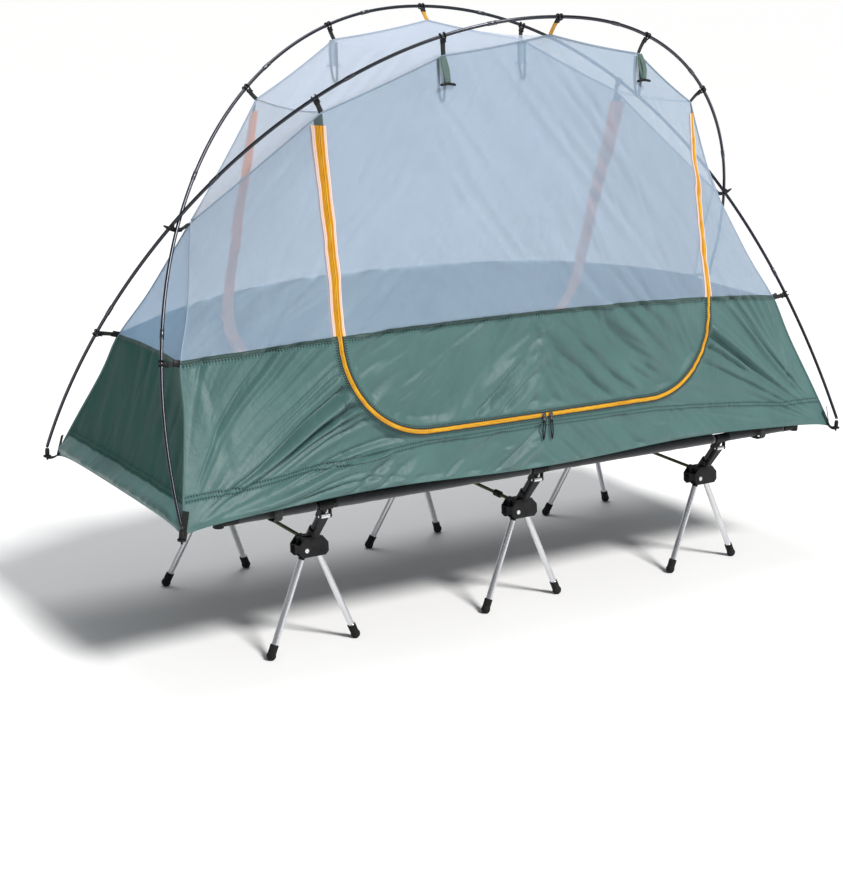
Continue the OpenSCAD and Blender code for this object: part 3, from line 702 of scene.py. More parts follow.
mat_coil = plastic("zip_coil", (0.76, 0.38, 0.022), 0.36)
mat_black_web = strapping("black_webbing", (0.006, 0.008, 0.008), (0.026, 0.031, 0.030))
mat_yellow_web = strapping("yellow_webbing", (0.62, 0.28, 0.015), (0.88, 0.47, 0.04))
mat_green_web = strapping("green_webbing", (0.085, 0.150, 0.132), (0.165, 0.255, 0.228))
mat_black = plastic("black_nylon", (0.008, 0.008, 0.009))
mat_rubber = plastic("black_rubber", (0.010, 0.010, 0.010), 0.72)
mat_olive = metal("olive_strut", (0.10, 0.115, 0.05), 0.5)
mat_bright = metal("bright_alloy", (0.78, 0.79, 0.81), 0.26)
mat_ferrule = metal("ferrule_alloy", (0.085, 0.088, 0.100), 0.28, depth=0.00001)
mat_leg = metal("leg_alloy", (0.72, 0.73, 0.75), 0.30, turn=(0, math.pi / 2, 0))
mat_rail = metal("black_anodised_rail", (0.045, 0.046, 0.050), 0.34)
mat_pole = metal("dark_anodised_pole", (0.060, 0.063, 0.074), 0.28, 0.03, depth=0.000006)
mat_pull = strapping("pull_cord", (0.004, 0.004, 0.004), (0.016, 0.016, 0.017), 1.6)
mat_slider = metal("dark_slider_metal", (0.16, 0.16, 0.165), 0.30)

# ---------- camera, light and floor
# the photo's viewpoint, fitted to the pole ends, their crossings and the clips
view_az, view_el, view_roll = map(math.radians, (-34.79, 16.08, 2.34))
back = Vector((math.sin(view_az) * math.cos(view_el), -math.cos(view_az) * math.cos(view_el),
               math.sin(view_el)))
right = (-back).cross(Vector((0, 0, 1))).normalized()
upward = right.cross(-back)
cam_x = math.cos(view_roll) * right + math.sin(view_roll) * upward
cam_y = -math.sin(view_roll) * right + math.cos(view_roll) * upward
camera = add("camera", bpy.data.cameras.new("camera"))
camera.data.lens = 73.69
camera.data.sensor_width = 36
camera.data.clip_end = 400
camera.matrix_world = (Matrix.Translation((-2.781, -3.790, 1.357 + BASE / 1000))
                       @ Matrix((cam_x, cam_y, back)).transposed().to_4x4())
scene.camera = camera
scene.view_settings.view_transform = "Standard"

world = bpy.data.worlds.new("studio")
scene.world = world
world.use_nodes = True
ambient = world.node_tree.nodes["Background"]
ambient.inputs["Color"].default_value = (0.93, 0.96, 1.0, 1)
ambient.inputs["Strength"].default_value = 0.30


def lamp(name, kind, way, energy, at=(0, 0, 0)):
    """A light that shines along a direction."""
    light = bpy.data.lights.new(name, kind)
    light.energy = energy
    obj = add(name, light)
    obj.location = at
    obj.rotation_euler = Vector(way).to_track_quat("-Z", "Y").to_euler()
    return light


sun = lamp("key", "SUN", (-0.20, 0.58, -0.79), 3.1)
sun.angle, sun.color = 0.24, (1.0, 0.985, 0.965)
top_light = lamp("top", "AREA", (-0.4, -1.4, -4.0), 80, (0.4, 1.4, 4.8))
top_light.shape, top_light.size = "DISK", 3.0

FLOOR_HALF = 150
floor_mesh = bpy.data.meshes.new("studio_floor")
floor_mesh.from_pydata([(x * FLOOR_HALF, y * FLOOR_HALF, 0) for x, y in ((-1, -1), (1, -1), (1, 1), (-1, 1))],
                       [], [(0, 1, 2, 3)])
floor = add("studio_floor", floor_mesh)
floor.location.z = -0.0005
floor_mesh.materials.append(graph("studio_floor", (0.99, 0.99, 0.99), 0.85)[0])


# ---------- long walls and doors
def door_columns(gap, arc=54, middle=150):
    """x of the columns across a door, close together round its lower corners."""
    a = np.linspace(90, 0, arc) * np.pi / 180
    left = -ARC_X - (DOOR_R + gap) * np.sin(a)
    return np.concatenate([left, np.linspace(-ARC_X, ARC_X, middle)[1:-1], -left[::-1]])


def door_low(x, gap):
    """Height of the zip's lower line, gap mm outside it."""
    over = np.maximum(np.abs(x) - ARC_X, 0)
    return ARC_H - np.sqrt(np.maximum((DOOR_R + gap) ** 2 - over ** 2, 0))


def corner_x(h):
    """How far along the tent its corner seams stand at a height."""
    return SKIN_X - (SKIN_X - APEX_X) * (h - FLOOR_H) / (APEX_H - FLOOR_H)


def zip_line(off):
    """(x, h) along the zip, off mm outside its line, from the left top round to the right top."""
    upright = np.arange(ZIP_TOP, ARC_H, -10.0)
    a = np.linspace(0, 90, 44)[:-1] * np.pi / 180
    left = np.concatenate([
        spread(-DOOR_X - off, upright),
        spread(-ARC_X - (DOOR_R + off) * np.cos(a), ARC_H - (DOOR_R + off) * np.sin(a)),
        spread(np.linspace(-ARC_X, 0, 45), DOOR_SILL - off)])
    return np.concatenate([left, left[-2::-1] * [-1, 1]])


def band(side, lines, lifts, material, slot, name, body=ROOT, across=None):
    """A strip of cloth over the wall, through two or more lines of (x, h)."""
    points = np.stack([wall(l[:, 0], l[:, 1], side, lift) for l, lift in zip(lines, lifts)], 0)
    run = run_along(points[len(lines) // 2])
    across = np.linspace(-6, 6, len(lines)) if across is None else np.asarray(across, float)
    uv = spread(run[None, :], across[:, None])
    return make(name, points, grid_faces(len(lines), len(lines[0]), 0, side > 0), material, slot, body, uv)


def seam_strip(side, xs, line, offs, lifts, material, name, body=ROOT, across=None):
    """A strip of green cloth along a line over the wall, at offs above it."""
    lines = [spread(xs, line(xs) + d) for d in offs]
    return band(side, lines, lifts, material, "green_cloth", name, body, across or offs)


def on_door(which, *pieces):
    """The door's pieces ride on no body: each is taken off its parent and its place is baked into its points.
    """
    for obj in pieces:
        obj.parent = None
        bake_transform(obj)


def mirrored(left, middle):
    """A line across a wall from its left part and its middle, with the left part again on the right."""
    return np.concatenate([left, middle, left[::-1] * [-1, 1]])


def long_wall(which):
    side, door_edge = SIDES[which], DOOR_X + ZIP_GAP
    surface = lambda x, h: wall(x, h, side)
    turned = side > 0
    # lower green wall outside the zip
    inner_x = door_columns(ZIP_GAP)
    outer = np.linspace(1, 0, 140)[:-1] ** 0.9
    low_x = -(door_edge + (SKIN_X - door_edge) * outer)
    top_x = -(door_edge + (corner_x(SEAM_END) - door_edge) * outer)
    low = mirrored(spread(low_x, hem_h(low_x)), spread(inner_x, hem_h(inner_x)))
    top = mirrored(spread(top_x, seam_h(top_x)), spread(inner_x, door_low(inner_x, ZIP_GAP)))
    tub = cloth_panel("wall_%s_cloth" % which, [between(low, top, 104)], surface, mat_green, "green_cloth",
                      turned=turned)
    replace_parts(tub, "wall_%s_lower" % which)
    # mesh outside the zip
    k = np.linspace(0, 1, 60)
    strips = []
    for end in (-1, 1):
        xl = door_edge + (corner_x(SEAM_END) - door_edge) * k
        xh = door_edge + (APEX_X - door_edge) * k
        low, top = spread(end * xl, seam_h(xl)), spread(end * xh, ridge_over(xh))
        strips.append(between(low[::end], top[::end], 76))
    veil = cloth_panel("wall_%s_veil" % which, strips, surface, mat_mesh, "mesh_cloth", turned=turned)
    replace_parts(veil, "wall_%s_mesh" % which)
    # door
    x = door_columns(-ZIP_GAP)
    grid = between(spread(x, door_low(x, -ZIP_GAP)), spread(x, seam_h(x)), 80)
    cloth = cloth_panel("door_%s_cloth" % which, [grid], surface, mat_green, "green_cloth", None, turned)
    x = np.linspace(-DOOR_X + ZIP_GAP, DOOR_X - ZIP_GAP, 190)
    grid = between(spread(x, seam_h(x)), spread(x, ridge_over(x)), 110)
    door_veil = cloth_panel("door_%s_veil" % which, [grid], surface, mat_mesh, "mesh_cloth", None, turned)
    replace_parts(cloth, "door_%s_lower" % which)
    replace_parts(door_veil, "door_%s_mesh" % which)
    on_door(which, cloth, door_veil)
    lets_light_in(veil, door_veil)
    # hems: the seam between cloth and mesh with the gathers under it, and the floor's seam
    out = np.linspace(door_edge + 3, corner_x(SEAM_END) - 2, 90)
    over_door = np.linspace(-DOOR_X + 12, DOOR_X - 12, 240)
    for name, xs, body in (("left", -out[::-1], ROOT), ("door", over_door, None), ("right", out, ROOT)):
        hem = seam_strip(side, xs, seam_h, (-5.5, -4, -1, 2, 3.5), (0.4, 1.4, 1.8, 1.4, 0.5), mat_hem,
                         "hem_%s_%s" % (which, name), body, (-5, -3, 0, 3, 5))
        strip = seam_strip(side, xs, seam_h, (-15, -11, -8, -5), (0.2, 0.9, 1.0, 0.6), mat_gathers,
                           "gathers_%s_%s" % (which, name), body)
        if body is None:
            on_door(which, hem, strip)
    xs = np.linspace(-1, 1, 560) * (corner_x(TUB_SEAM_END) - 3)
    seam_strip(side, xs, tub_seam_h, (-9, -5, 0, 5, 9), (0.25, 0.7, 0.9, 0.7, 0.25), mat_floor_seam,
               "floor_seam_" + which)
    # ridge seam
    us = np.linspace(-0.995, 0.995, 240)
    path = spread(APEX_X * us, side * (ridge_y(us) + 0.5), BASE + ridge_h(us) - 1)
    make("ridge_seam_" + which, *tube(path, 2.3, 8), mat_mesh_seam, "green_webbing")


def zip_half(which, part):
    """One side of a zip: orange tape, coil and inner facing, and its edge, pale on mesh and dark on cloth."""
    side, sign = SIDES[which], 1 if part == "frame" else -1
    body = ROOT if part == "frame" else None
    stem = "zip_%s_%s" % (which, part)
    offs = [0.9, 3.4, 6.2, 9.2]
    tape = band(side, [zip_line(sign * d) for d in offs], (1.6, 2.1, 2.0, 1.3), mat_zip, "zip_tape",
                stem + "_tape", body, [sign * d for d in offs])
    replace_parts(tape, stem)
    coil_line = zip_line(sign * 1.5)
    path = wall(coil_line[:, 0], coil_line[:, 1], side, 2.6)
    fine = np.linspace(0, len(path) - 1, 2200)
    path = np.stack([np.interp(fine, np.arange(len(path)), path[:, i]) for i in range(3)], -1)
    turn = run_along(path) * 2 * np.pi / 3.2 + (0 if sign > 0 else np.pi)
    coil = make(stem + "_coil", *tube(path, 1.15 + 0.35 * np.sin(turn), 6), mat_coil, "zip_tape", body)
    facing = band(side, [zip_line(sign * d) for d in (1.0, 9.0, 17.0)], (-1.4, -2.6, -3.0), mat_facing,
                  "zip_tape", stem + "_facing", body, (9, 12, 15))
    made = [tape, coil, facing]
    edge = zip_line(0)
    on_mesh = edge[:, 1] > seam_h(edge[:, 0])
    for name, there, widths, lifts, material, across in (
            ("edging", on_mesh, (8.8, 10.4, 12.4, 14.4), (1.4, 1.7, 1.5, 0.5), mat_pale, (-3, -1, 1, 3)),
            ("piping", ~on_mesh, (5.2, 6.2, 8.0, 9.0), (2.4, 3.0, 2.8, 2.0), mat_piping, None),
            ("binding", ~on_mesh, (8.2, 10.0, 13.5, 18.0), (2.3, 2.2, 1.4, 0.3), mat_binding, None)):
        slot = "zip_tape" if name == "edging" else "green_cloth"
        spans = np.flatnonzero(np.diff(np.concatenate([[False], there, [False]]).astype(int)))
        for k, (a, b) in enumerate(zip(spans[::2], spans[1::2])):
            strips = [zip_line(sign * d)[max(a - 1, 0):b + 1] for d in widths]
            made.append(band(side, strips, lifts, material, slot, "%s_%s_%d" % (stem, name, k + 1), body,
                             across or widths))
    if part == "frame":
        for name, end in (("left", -1), ("right", 1)):
            xs = end * np.linspace(DOOR_X - 8.5, DOOR_X + 8.5, 5)
            lines = [spread(x, np.linspace(ZIP_TOP - 3, ridge_over(x) - 1, 8)) for x in xs]
            band(side, lines, (0.8, 1.6, 1.8, 1.6, 0.8), mat_patch, "green_webbing",
                 "zip_patch_%s_%s" % (which, name))
    else:
        on_door(which, *made)


for which in SIDES:
    long_wall(which)
    zip_half(which, "frame")
    zip_half(which, "door")

# ---------- end walls, roof and floor
for which, end in ENDS.items():
    surface = lambda y, h, end=end: end_wall(y, h, end)
    half = lambda h: SKIN_Y * (APEX_H - h) / (APEX_H - FLOOR_H)
    k = np.linspace(-1, 1, 110)
    grid = between(spread(k * half(HEM_H), HEM_H), spread(k * half(SEAM_END), SEAM_END), 60)
    tub = cloth_panel("wall_%s_cloth" % which, [grid], surface, mat_green_end_painted_shade, "green_cloth", turned=end < 0)
    k, top = k[::2], APEX_H - 1
    grid = between(spread(k * half(SEAM_END), SEAM_END), spread(k * half(top), top), 64)
    veil = cloth_panel("wall_%s_veil" % which, [grid], surface, mat_mesh_end_painted_light, "mesh_cloth", turned=end < 0)
    # above its floor seam an end wall's green is painted shade, a darker copy of the long walls' green; below
    # the seam it keeps the long walls' green
    tub.data.materials.append(mat_green)
    for p in tub.data.polygons:
        p.material_index = int(p.center.z * 1000 - BASE < TUB_SEAM_END - 2)
    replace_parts(tub, "wall_%s_lower" % which)
    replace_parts(veil, "wall_%s_mesh" % which)
    lets_light_in(veil)
    for name, level, widths, material in (("hem", SEAM_END, (-5.5, -4, -1, 2, 3.5), mat_hem),
                                          ("floor_seam", TUB_SEAM_END, (-9, -5, 0, 5, 9), mat_end_seam_painted_shade)):
        y = np.linspace(-1, 1, 160) * (half(level) - 3)
        rows = [end_wall(y, level + d, end, l) for d, l in zip(widths, (0.3, 1.1, 1.3, 1.1, 0.3))]
        uv = spread(y[None, :], np.asarray(widths)[:, None])
        make("%s_%s" % (name, which), np.stack(rows), grid_faces(5, len(y), 0, end < 0), material,
             "green_cloth", ROOT, uv)
    for which_side, side in SIDES.items():
        for part, hs, material, slot, r in (
                ("lower", np.linspace(FLOOR_H, SEAM_END, 70), mat_green, "green_cloth", 3.4),
                ("upper", np.linspace(SEAM_END, APEX_H, 50), mat_mesh_seam, "mesh_cloth", 2.0)):
            path = spread(end * (corner_x(hs) + tab_pull(hs)), side * half(hs),
                          BASE + hs - corner_drop(SKIN_X, SKIN_Y, hs))
            make("corner_seam_%s_%s_%s" % (which, which_side, part), *tube(path, r, 8, up=(1, 0, 0)),
                 material, slot)


def roof_point(u, w):
    """Points of the roof: u along it from end to end, w across it from ridge to ridge."""
    y = (2 * w - 1) * ridge_y(u)
    spread_out = np.abs(ridge_y(u)) / 266
    sag = 13 * 4 * w * (1 - w) * spread_out
    folds_over = 2.2 * noise2(u * 9 + w * 1.5, w * 2.2, 150) + 1.2 * crest(noise2(u * 14 - w * 3, w * 3, 151))
    held = smooth(w * 6) * smooth((1 - w) * 6)
    return np.stack([APEX_X * u, y, BASE + ridge_h(u) - sag + folds_over * held * spread_out], -1)


us, ws = np.linspace(-0.999, 0.999, 220), np.linspace(0, 1, 70)
W, U = np.meshgrid(ws, us, indexing="ij")
roof = make("roof_veil", roof_point(U, W), grid_faces(70, 220), mat_mesh_roof_painted_glow, "mesh_cloth")
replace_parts(roof, "roof_mesh")
lets_light_in(roof)

for which, end in ENDS.items():
    path = roof_point(np.full(60, end * RIDGE_U[2]), np.linspace(0.01, 0.99, 60)) + (0, 0, 0.6)
    make("roof_seam_" + which, *tube(path, 1.9, 8, up=(1, 0, 0)), mat_pale_seam, "mesh_cloth")

xs = np.linspace(-1, 1, 150)
ys = np.linspace(-1, 1, 60)
X, Y = np.meshgrid(xs, ys)
edge = np.maximum(np.abs(X), np.abs(Y)) ** 8
floor_h = 25.4 + 1.1 * noise2(X * 9, Y * 4, 160) * (1 - edge)
rim_h = np.where(np.abs(Y) >= np.abs(X), hem_h(X * SKIN_X), HEM_H)
floor_h = partway(floor_h, rim_h, edge)
floor_h = floor_h - corner_drop(X * SKIN_X, Y * SKIN_Y, FLOOR_H)
tent_floor = make("tent_floor", spread(X * (SKIN_X - 1), Y * (SKIN_Y - 1), BASE + floor_h),
                  grid_faces(60, 150), mat_floor, "green_cloth")
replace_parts(tent_floor, "tub_floor")


# ---------- poles
def arch(s):
    """The poles' arches are a little fuller in the shoulders than an ellipse."""
    return np.sign(s) * np.abs(s) ** (2 / POLE_SQUARE)


def pole_at(t, side, lift=0.0):
    """Points of a pole's centre line, t from -1 to 1 between its feet."""
    t = np.asarray(t, float)
    bow = lift - side * POLE_BOW
    a = np.radians(90 * t)
    return np.stack([(POLE_SPAN / 2 + bow) * arch(np.sin(a)),
                     side * (POLE_TOP / 2 - (POLE_TOP + POLE_FEET) / 2 * np.abs(t) ** POLE_CURVE),
                     BASE + (POLE_RISE + bow) * arch(np.cos(a))], -1)


def pole_way(t, side):
    return unit(pole_at(t + 0.002, side) - pole_at(t - 0.002, side))


CORNERS = [(end, side) for side in SIDES.values() for end in (-1, 1)]
joints_at = [-POLE_END + 2 * POLE_END * i / POLE_PARTS for i in range(1, POLE_PARTS)]
for which, side in SIDES.items():
    path = pole_at(np.linspace(-POLE_END, POLE_END, 420), side)
    pole = make("pole_%s_tube" % which, *tube(path, POLE_R, 20), mat_pole, "pole_alloy")
    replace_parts(pole, "pole_" + which)
ferrules = []
for side in SIDES.values():
    for t in joints_at:
        way, mid = pole_way(t, side), pole_at(t, side)
        stops = np.array([-13, -12, -11.5, -9, -8.6, -8.2, 8.2, 8.6, 9, 11.5, 12, 13])
        radii = np.array([4.4, 5.1, 5.3, 5.3, 5.0, 5.2, 5.2, 5.0, 5.3, 5.3, 5.1, 4.4])
        ferrules.append(tube(mid + stops[:, None] * way, radii, 20))
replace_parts(gather("ferrules", ferrules, mat_ferrule, "pole_alloy"), "pole_ferrules")
tips = []
for end, side in CORNERS:
    top = pole_at(end * POLE_END, side)
    foot = np.array([top[0], top[1], BASE])
    stops = np.array([-6, -4.5, -4, 7.9, 8, 9.5, 20, 22, 22.3, 25])
    radii = np.array([1.6, 2.4, 2.6, 2.6, 5.0, 5.8, 5.8, 5.4, 5.0, 4.6])
    tips.append(tube(foot + stops[:, None] * np.array([0, 0, 1.0]), radii, 20))
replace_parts(gather("pole_end_plugs", tips, mat_black, "black_plastic"), "pole_tips")


# ---------- clips, straps, hooks and tabs
def skin_anchor(index, end, side):
    """Where a clip's strap is sewn on: on the ridge, or low on a corner seam."""
    if index < 3:
        u = end * RIDGE_U[index]
        y, h = np.interp(abs(u), RIDGE_U, RIDGE_Y), np.interp(abs(u), RIDGE_U, RIDGE_H)
        return np.array([APEX_X * u, side * y, BASE + h])
    return np.array([end * (corner_x(LOW_CLIP_H) + 15), -side * 166.0, BASE + LOW_CLIP_H])


CLIPS = [(0, 1, side) for side in SIDES.values()] + [(i, *corner) for i in (1, 2, 3) for corner in CORNERS]
hooks, black_straps, yellow_straps = [], [], []
for index, end, side in CLIPS:
    t = end * CLIP_AT[index]
    centre, way = pole_at(t, side), pole_way(t, side)
    anchor = skin_anchor(index, end, side)
    down = unit(anchor - centre)
    down = unit(down - way * (down @ way))
    out = np.cross(way, down)
    for shift in (-5.2, 5.2):
        a = np.radians(np.linspace(-40, 250, 26))
        ring = centre + way * shift + 6.6 * (np.cos(a)[:, None] * out - np.sin(a)[:, None] * down)
        lip = ring[-1] + 4.5 * unit(ring[-1] - ring[-3] + 0.6 * (ring[-1] - centre))
        hooks.append(tube(np.vstack([ring, lip]), np.r_[np.full(26, 1.9), 1.2], 10, up=way))
    hooks.append(block(centre + down * 10.5, (13.5, 8.5, 4.2), [way, down, out]))
    hooks.append(block(centre + down * 16.5, (15.5, 3.2, 3.4), [way, down, out]))
    start = centre + down * 13
    run = anchor - start
    reach = np.linalg.norm(run)
    s = steps(14)
    bow = 1.6 * np.sin(np.pi * s) * out
    strap = webbing(partway(start, anchor, s) + bow, way, 12)
    fold_end = start + run * min(0.62, 22 / reach)
    fold = webbing(partway(start, fold_end, s) + out * 1.7 + bow * 0.5, way, 11.4, 1.2)
    box = block(start + run * min(0.5, 15 / reach) + out * 2.4, (9, 7, 0.7), [way, unit(run), out])
    target = yellow_straps if index == 0 else black_straps
    target += [strap, fold, box]
    if index == 3:
        hooks.append(block(anchor - down * 8, (17, 24, 3.0), [way, down, out]))
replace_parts(gather("hook_clips", hooks, mat_black, "black_plastic"), "pole_clips")
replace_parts(gather("clip_webbing", black_straps, mat_black_web, "dark_webbing"), "clip_straps")
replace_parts(gather("centre_webbing", yellow_straps, mat_yellow_web, "yellow_webbing"), "centre_straps")

crossing, crossing_straps = [], []
for end in (-1, 1):
    inner, outer = pole_at(end * CROSS_AT, 1), pole_at(end * CROSS_AT, -1)
    s = np.linspace(0, 1, 24)
    horn = spread(outer[0] + end * (-16 + 46 * s), 0, inner[2] - 16 + 13 * s ** 2)
    bulge = np.sin(np.pi * np.clip(0.22 + 0.76 * s, 0, 1)) ** 0.8
    crossing.append(tube(horn, 1.4 + 4.0 * bulge, 14, squash=0.8))
    knob = np.array([outer[0] - end * 10, 0, inner[2] - 15])
    crossing.append(block(knob, (13, 15, 9), None, 0.5))
    crossing.append(block(knob + (end * 17, 0, 6.0), (8, 9, 14), None, 0.5))
    apex = np.array([end * (APEX_X + 3), 0, BASE + APEX_H - 3])
    s = s[:, None]
    tie = partway(apex, knob - (end * 4, 0, 0), s) + np.array([0, 0, -1.5]) * np.sin(np.pi * s)
    crossing_straps.append(webbing(tie, (0, 1, 0), 13, 2.4))
    crossing_straps.append(webbing(tie[4:] + (0, 0, 2.2), (0, 1, 0), 12.4, 1.6))
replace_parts(gather("crossing_hook_pair", crossing, mat_black, "black_plastic"), "crossing_hooks")
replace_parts(gather("crossing_webbing", crossing_straps, mat_black_web, "black_plastic"), "crossing_hooks")

loops, bars = [], []
for end, side in CORNERS:
    top = skin_anchor(1, end, side) + np.array([end * 3, side * 3, -3])
    low = top + np.array([12, side * 9, -60])
    s = steps(18)
    for off, sway in ((0, 5), (-3.2, -4)):
        path = partway(top, low, s) + np.array([end * sway, side * (3 + off), 0]) * np.sin(np.pi * s)
        loops.append(webbing(path, (1, 0, 0), 14))
    a = np.pi * np.linspace(0, 1, 40)
    hang = spread(10 * np.cos(a) + 9 * np.sin(a), -side * (5 + 3 * np.sin(a)), -4 - 104 * np.sin(a) ** 0.6)
    loops.append(webbing(top + hang, (0, 1, 0), 11, 1.3))
    x = np.linspace(-21, 21, 9)
    bars.append(tube(low + spread(x, 0, -3.5 - 0.006 * x * x), 3.4 - 0.0012 * x * x, 12, up=(0, 0, 1)))
toggle_loops = gather("toggle_loops", loops, mat_green_web, "green_webbing")
toggle_bars = gather("toggle_bars", bars, mat_black, "black_plastic")
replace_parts(toggle_loops, "door_toggles")
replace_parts(toggle_bars, "door_toggles")

tabs, tab_plastic = [], []
for end, side in CORNERS:
    tip = pole_at(end * POLE_END, side)
    tip = np.array([tip[0], tip[1], BASE + 1.0])
    corner = np.array([end * (SKIN_X - 4), -side * (SKIN_Y - 4), BASE + 13])
    s = steps(14)
    path = partway(tip, corner, s) + np.array([0, 0, -5.0]) * np.sin(np.pi * s)
    out = unit(np.cross(unit(corner - tip), (0, 0, 1)))
    tabs.append(webbing(path, out, 19, 1.8))
    tabs.append(webbing(path[4:] + (0, 0, 2.0), out, 17, 1.4))
    up = spread(corner[0] + end * np.linspace(4, -7, 10), corner[1] - side * np.linspace(4, -2, 10),
                BASE + np.linspace(8, 62, 10))
    tabs.append(webbing(up, (end * 1.0, side * 1.0, 0.0), 17, 1.8))
    a = np.radians(np.linspace(0, 360, 30))
    tab_plastic.append(tube(tip + spread(8.4 * np.cos(a), 8.4 * np.sin(a), 3.2), 2.3, 10, up=(0, 0, 1)))
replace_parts(gather("corner_webbing", tabs, mat_black_web, "dark_webbing"), "corner_tabs")
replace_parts(gather("corner_rings", tab_plastic, mat_black, "black_plastic"), "corner_tabs")

straps = []
for side in SIDES.values():
    for x in (-FLOOR_LOOP_X, FLOOR_LOOP_X):
        # (outwards, up) from the rail's middle: down its outer side, under it and up inside
        yz = np.array([(24.5, BASE + 30 - RAIL_Z), (25, 0), (24, -8), (18, -14.2), (0, -16.2), (-12, -15),
                       (-16, -8), (-16.2, 6)])
        k = np.linspace(0, len(yz) - 1, 40)
        yy, zz = (np.interp(k, np.arange(len(yz)), yz[:, i]) for i in (0, 1))
        straps.append(webbing(spread(x, side * (RAIL_Y + yy), RAIL_Z + zz), (1, 0, 0), 23, 1.7))
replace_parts(gather("floor_loops", straps, mat_black_web, "dark_webbing"), "cot_loops")


# ---------- zip sliders
for which, side in SIDES.items():
    for name, end in (("left", -1), ("right", 1)):
        body = "slider_%s_%s" % (which, name)
        low, high = (np.array(c) * 1000 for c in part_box(body))
        face = side * (max(abs(low[1]), abs(high[1])) - 7.6)
        out = np.array([0, side, 0.0])
        axes = [(1, 0, 0), (0, 0, 1), out]
        centre = np.array([end * 11.0, face + side * 2.4, BASE + DOOR_SILL])
        parts = [block(centre, (11.6, 10.4, 2.4), axes, 0.5),
                 block(centre + out * 1.9, (7.4, 5.2, 1.8), axes, 0.5)]
        a = np.radians(np.linspace(0, 180, 14))
        bail = centre + spread(4.6 * np.cos(a), side * (2.4 + 2.0 * np.sin(a)), 0)
        parts.append(tube(bail, 0.85, 8, up=(0, 0, 1)))
        tab = centre + out * 3.6 + np.array([end * 0.4, 0, -9.0])
        parts.append(block(tab, (6.4, 12, 1.3), axes, 0.5))
        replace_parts(gather(body + "_metal", parts, mat_slider, "bright_alloy", body), body)
        # the pull leans outwards, to pass in front of the cloth: two strands and a moulded end
        s = steps(22)
        pulls = []
        for off in (-1.7, 1.7):
            hang = s * np.array([end * PULL_SPLAY, side * PULL_LEAN, 6 - PULL_DROP])
            path = tab + np.array([off, 0, -3.5]) + hang + np.array([off, 0, 0]) * np.sin(np.pi * s)
            pulls.append(tube(path, 1.6, 8))
        knot = tab + np.array([end * PULL_SPLAY, side * PULL_LEAN, -PULL_DROP])
        radii = [1.4, 2.6, 3.1, 2.7, 2.9, 3.0, 2.4, 1.6, 1.5, 1.3]
        pulls.append(tube(knot + spread(0, 0, np.linspace(5.5, -7, 10)), radii, 12))
        gather(body + "_pull", pulls, mat_pull, "black_plastic", body)


# ---------- cot
def deck_height(x, y):
    t = np.abs(y) / RAIL_Y
    return RAIL_Z + SLEEVE_R - 2.0 * (1 - t ** 2) + 0.45 * noise2(x / 120, y / 90, 170) * (1 - t ** 4)


END_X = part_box("end_bars")[1].x * 1000 - RAIL_R
xs = np.linspace(-END_X, END_X, 170)
ys = np.linspace(-RAIL_Y, RAIL_Y, 60)
X, Y = np.meshgrid(xs, ys)
faces = []
notches = [(s * RAIL_Y, x) for s in (-1, 1) for x in (-HUB_X, 0, HUB_X)]
for f in grid_faces(60, 170):
    cx, cy = X.ravel()[list(f)].mean(), Y.ravel()[list(f)].mean()
    at_saddle = any(abs(cx - x) < 26 and abs(cy - y) < 25 for y, x in notches)
    at_corner = abs(cx) > END_X - SLEEVE_INSET + 1 and abs(cy) > RAIL_Y - SLEEVE_INSET + 1
    if not (at_saddle or at_corner):
        faces.append(f)
used = sorted({i for f in faces for i in f})
index = {old: new for new, old in enumerate(used)}
flat_points = np.stack([X, Y, deck_height(X, Y)], -1).reshape(-1, 3)[used]
deck = make("deck_cloth", flat_points, [tuple(index[i] for i in f) for f in faces], mat_deck, "deck_cloth")
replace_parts(deck, "deck_fabric")
solid = deck.modifiers.new("thickness", "SOLIDIFY")
solid.thickness, solid.offset = 0.0009, -1
sleeves, hems = [], []
inner_x, inner_y = END_X - SLEEVE_INSET, RAIL_Y - SLEEVE_INSET
stretches = [(-inner_x, -HUB_X - SADDLE_GAP), (-HUB_X + SADDLE_GAP, -SADDLE_GAP),
             (SADDLE_GAP, HUB_X - SADDLE_GAP), (HUB_X + SADDLE_GAP, inner_x)]
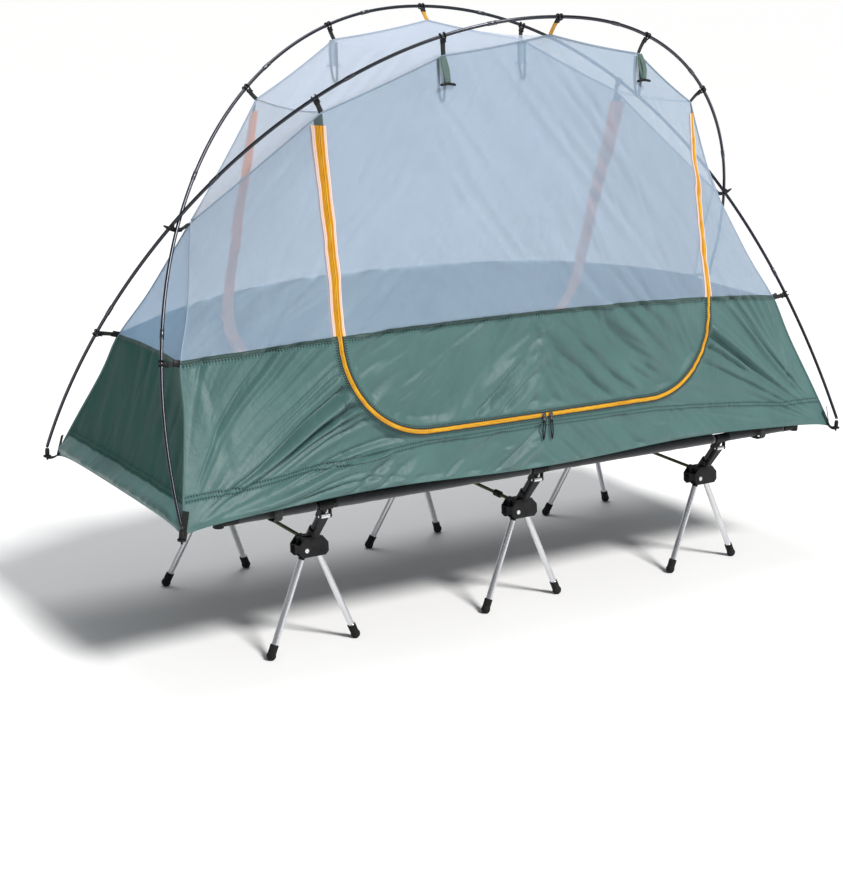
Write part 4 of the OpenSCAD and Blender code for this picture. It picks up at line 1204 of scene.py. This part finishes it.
for side in (-1, 1):
    for a, b in stretches:
        x = np.linspace(a, b, 60)
        wob = 0.35 * noise2(x / 30, side * 3.0, 175)
        sleeves.append(tube(spread(x, side * RAIL_Y, RAIL_Z), SLEEVE_R + wob, 24, up=(0, 0, 1)))
        hem = spread(x, side * (RAIL_Y - 17), deck_height(x, RAIL_Y - 17.0) - 1.6)
        hems.append(webbing(hem, (0, 1, 0), 16, 1.4))
    y = np.linspace(-inner_y, inner_y, 50)
    wob = 0.35 * noise2(y / 30, 5.0, 176)
    sleeves.append(tube(spread(side * END_X, y, RAIL_Z), SLEEVE_R + wob, 24, up=(0, 0, 1)))
    hems.append(webbing(spread(side * (END_X - 17), y, deck_height(0 * y, y) - 1.6), (1, 0, 0), 16, 1.4))
gather("deck_sleeves", sleeves, mat_deck, "deck_cloth")
gather("deck_hems", hems, mat_deck_hem, "deck_cloth")


def keep(names, material, bevel=0.0):
    """CAD nodes that show as they are, with rounded edges where bevel is given."""
    for name in names:
        o = nodes[name]
        o.data.materials.clear()
        o.data.materials.append(material)
        if bevel:
            m = o.modifiers.new("edges", "BEVEL")
            m.width, m.segments, m.limit_method, m.angle_limit = bevel / 1000, 2, "ANGLE", math.radians(40)


LEVERS = ["lever_head", "lever_middle", "lever_foot"]
LEGS = [n for n in nodes if n.startswith("leg_") and n != "leg_hubs"]
keep(["rail_front", "rail_back", "end_bars", "rail_arms"], mat_rail)
keep(["rail_ferrules", "pivot_pins"], mat_bright)
keep(["corner_elbows"], mat_black)
keep(["leg_hubs", "rail_saddles"] + LEVERS, mat_black, 0.8)
keep(["hub_braces"], mat_olive)
FOOT_TOP, CAP_HEIGHT = 0.034, 0.042
for name in LEGS:
    o = nodes[name]
    o.data.materials.clear()
    for m in (mat_leg, mat_black, mat_rubber):
        o.data.materials.append(m)
    cap_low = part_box(name)[1].z - CAP_HEIGHT
    for p in o.data.polygons:
        z = p.center.z
        p.material_index = 1 if z > cap_low else 2 if z < FOOT_TOP else 0
# the middle brace's sleeve is black, and each lever has a bright cap
in_sleeve = lambda c, top: abs(c.x) < 0.012 and -0.170 < c.y < -0.138
in_cap = lambda c, top: c.z > top - 0.016
marked = [("hub_braces", mat_black, in_sleeve)] + [(lever, mat_bright, in_cap) for lever in LEVERS]
for name, material, chosen in marked:
    o = nodes[name]
    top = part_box(name)[1].z
    o.data.materials.append(material)
    for p in o.data.polygons:
        if chosen(p.center, top):
            p.material_index = 1
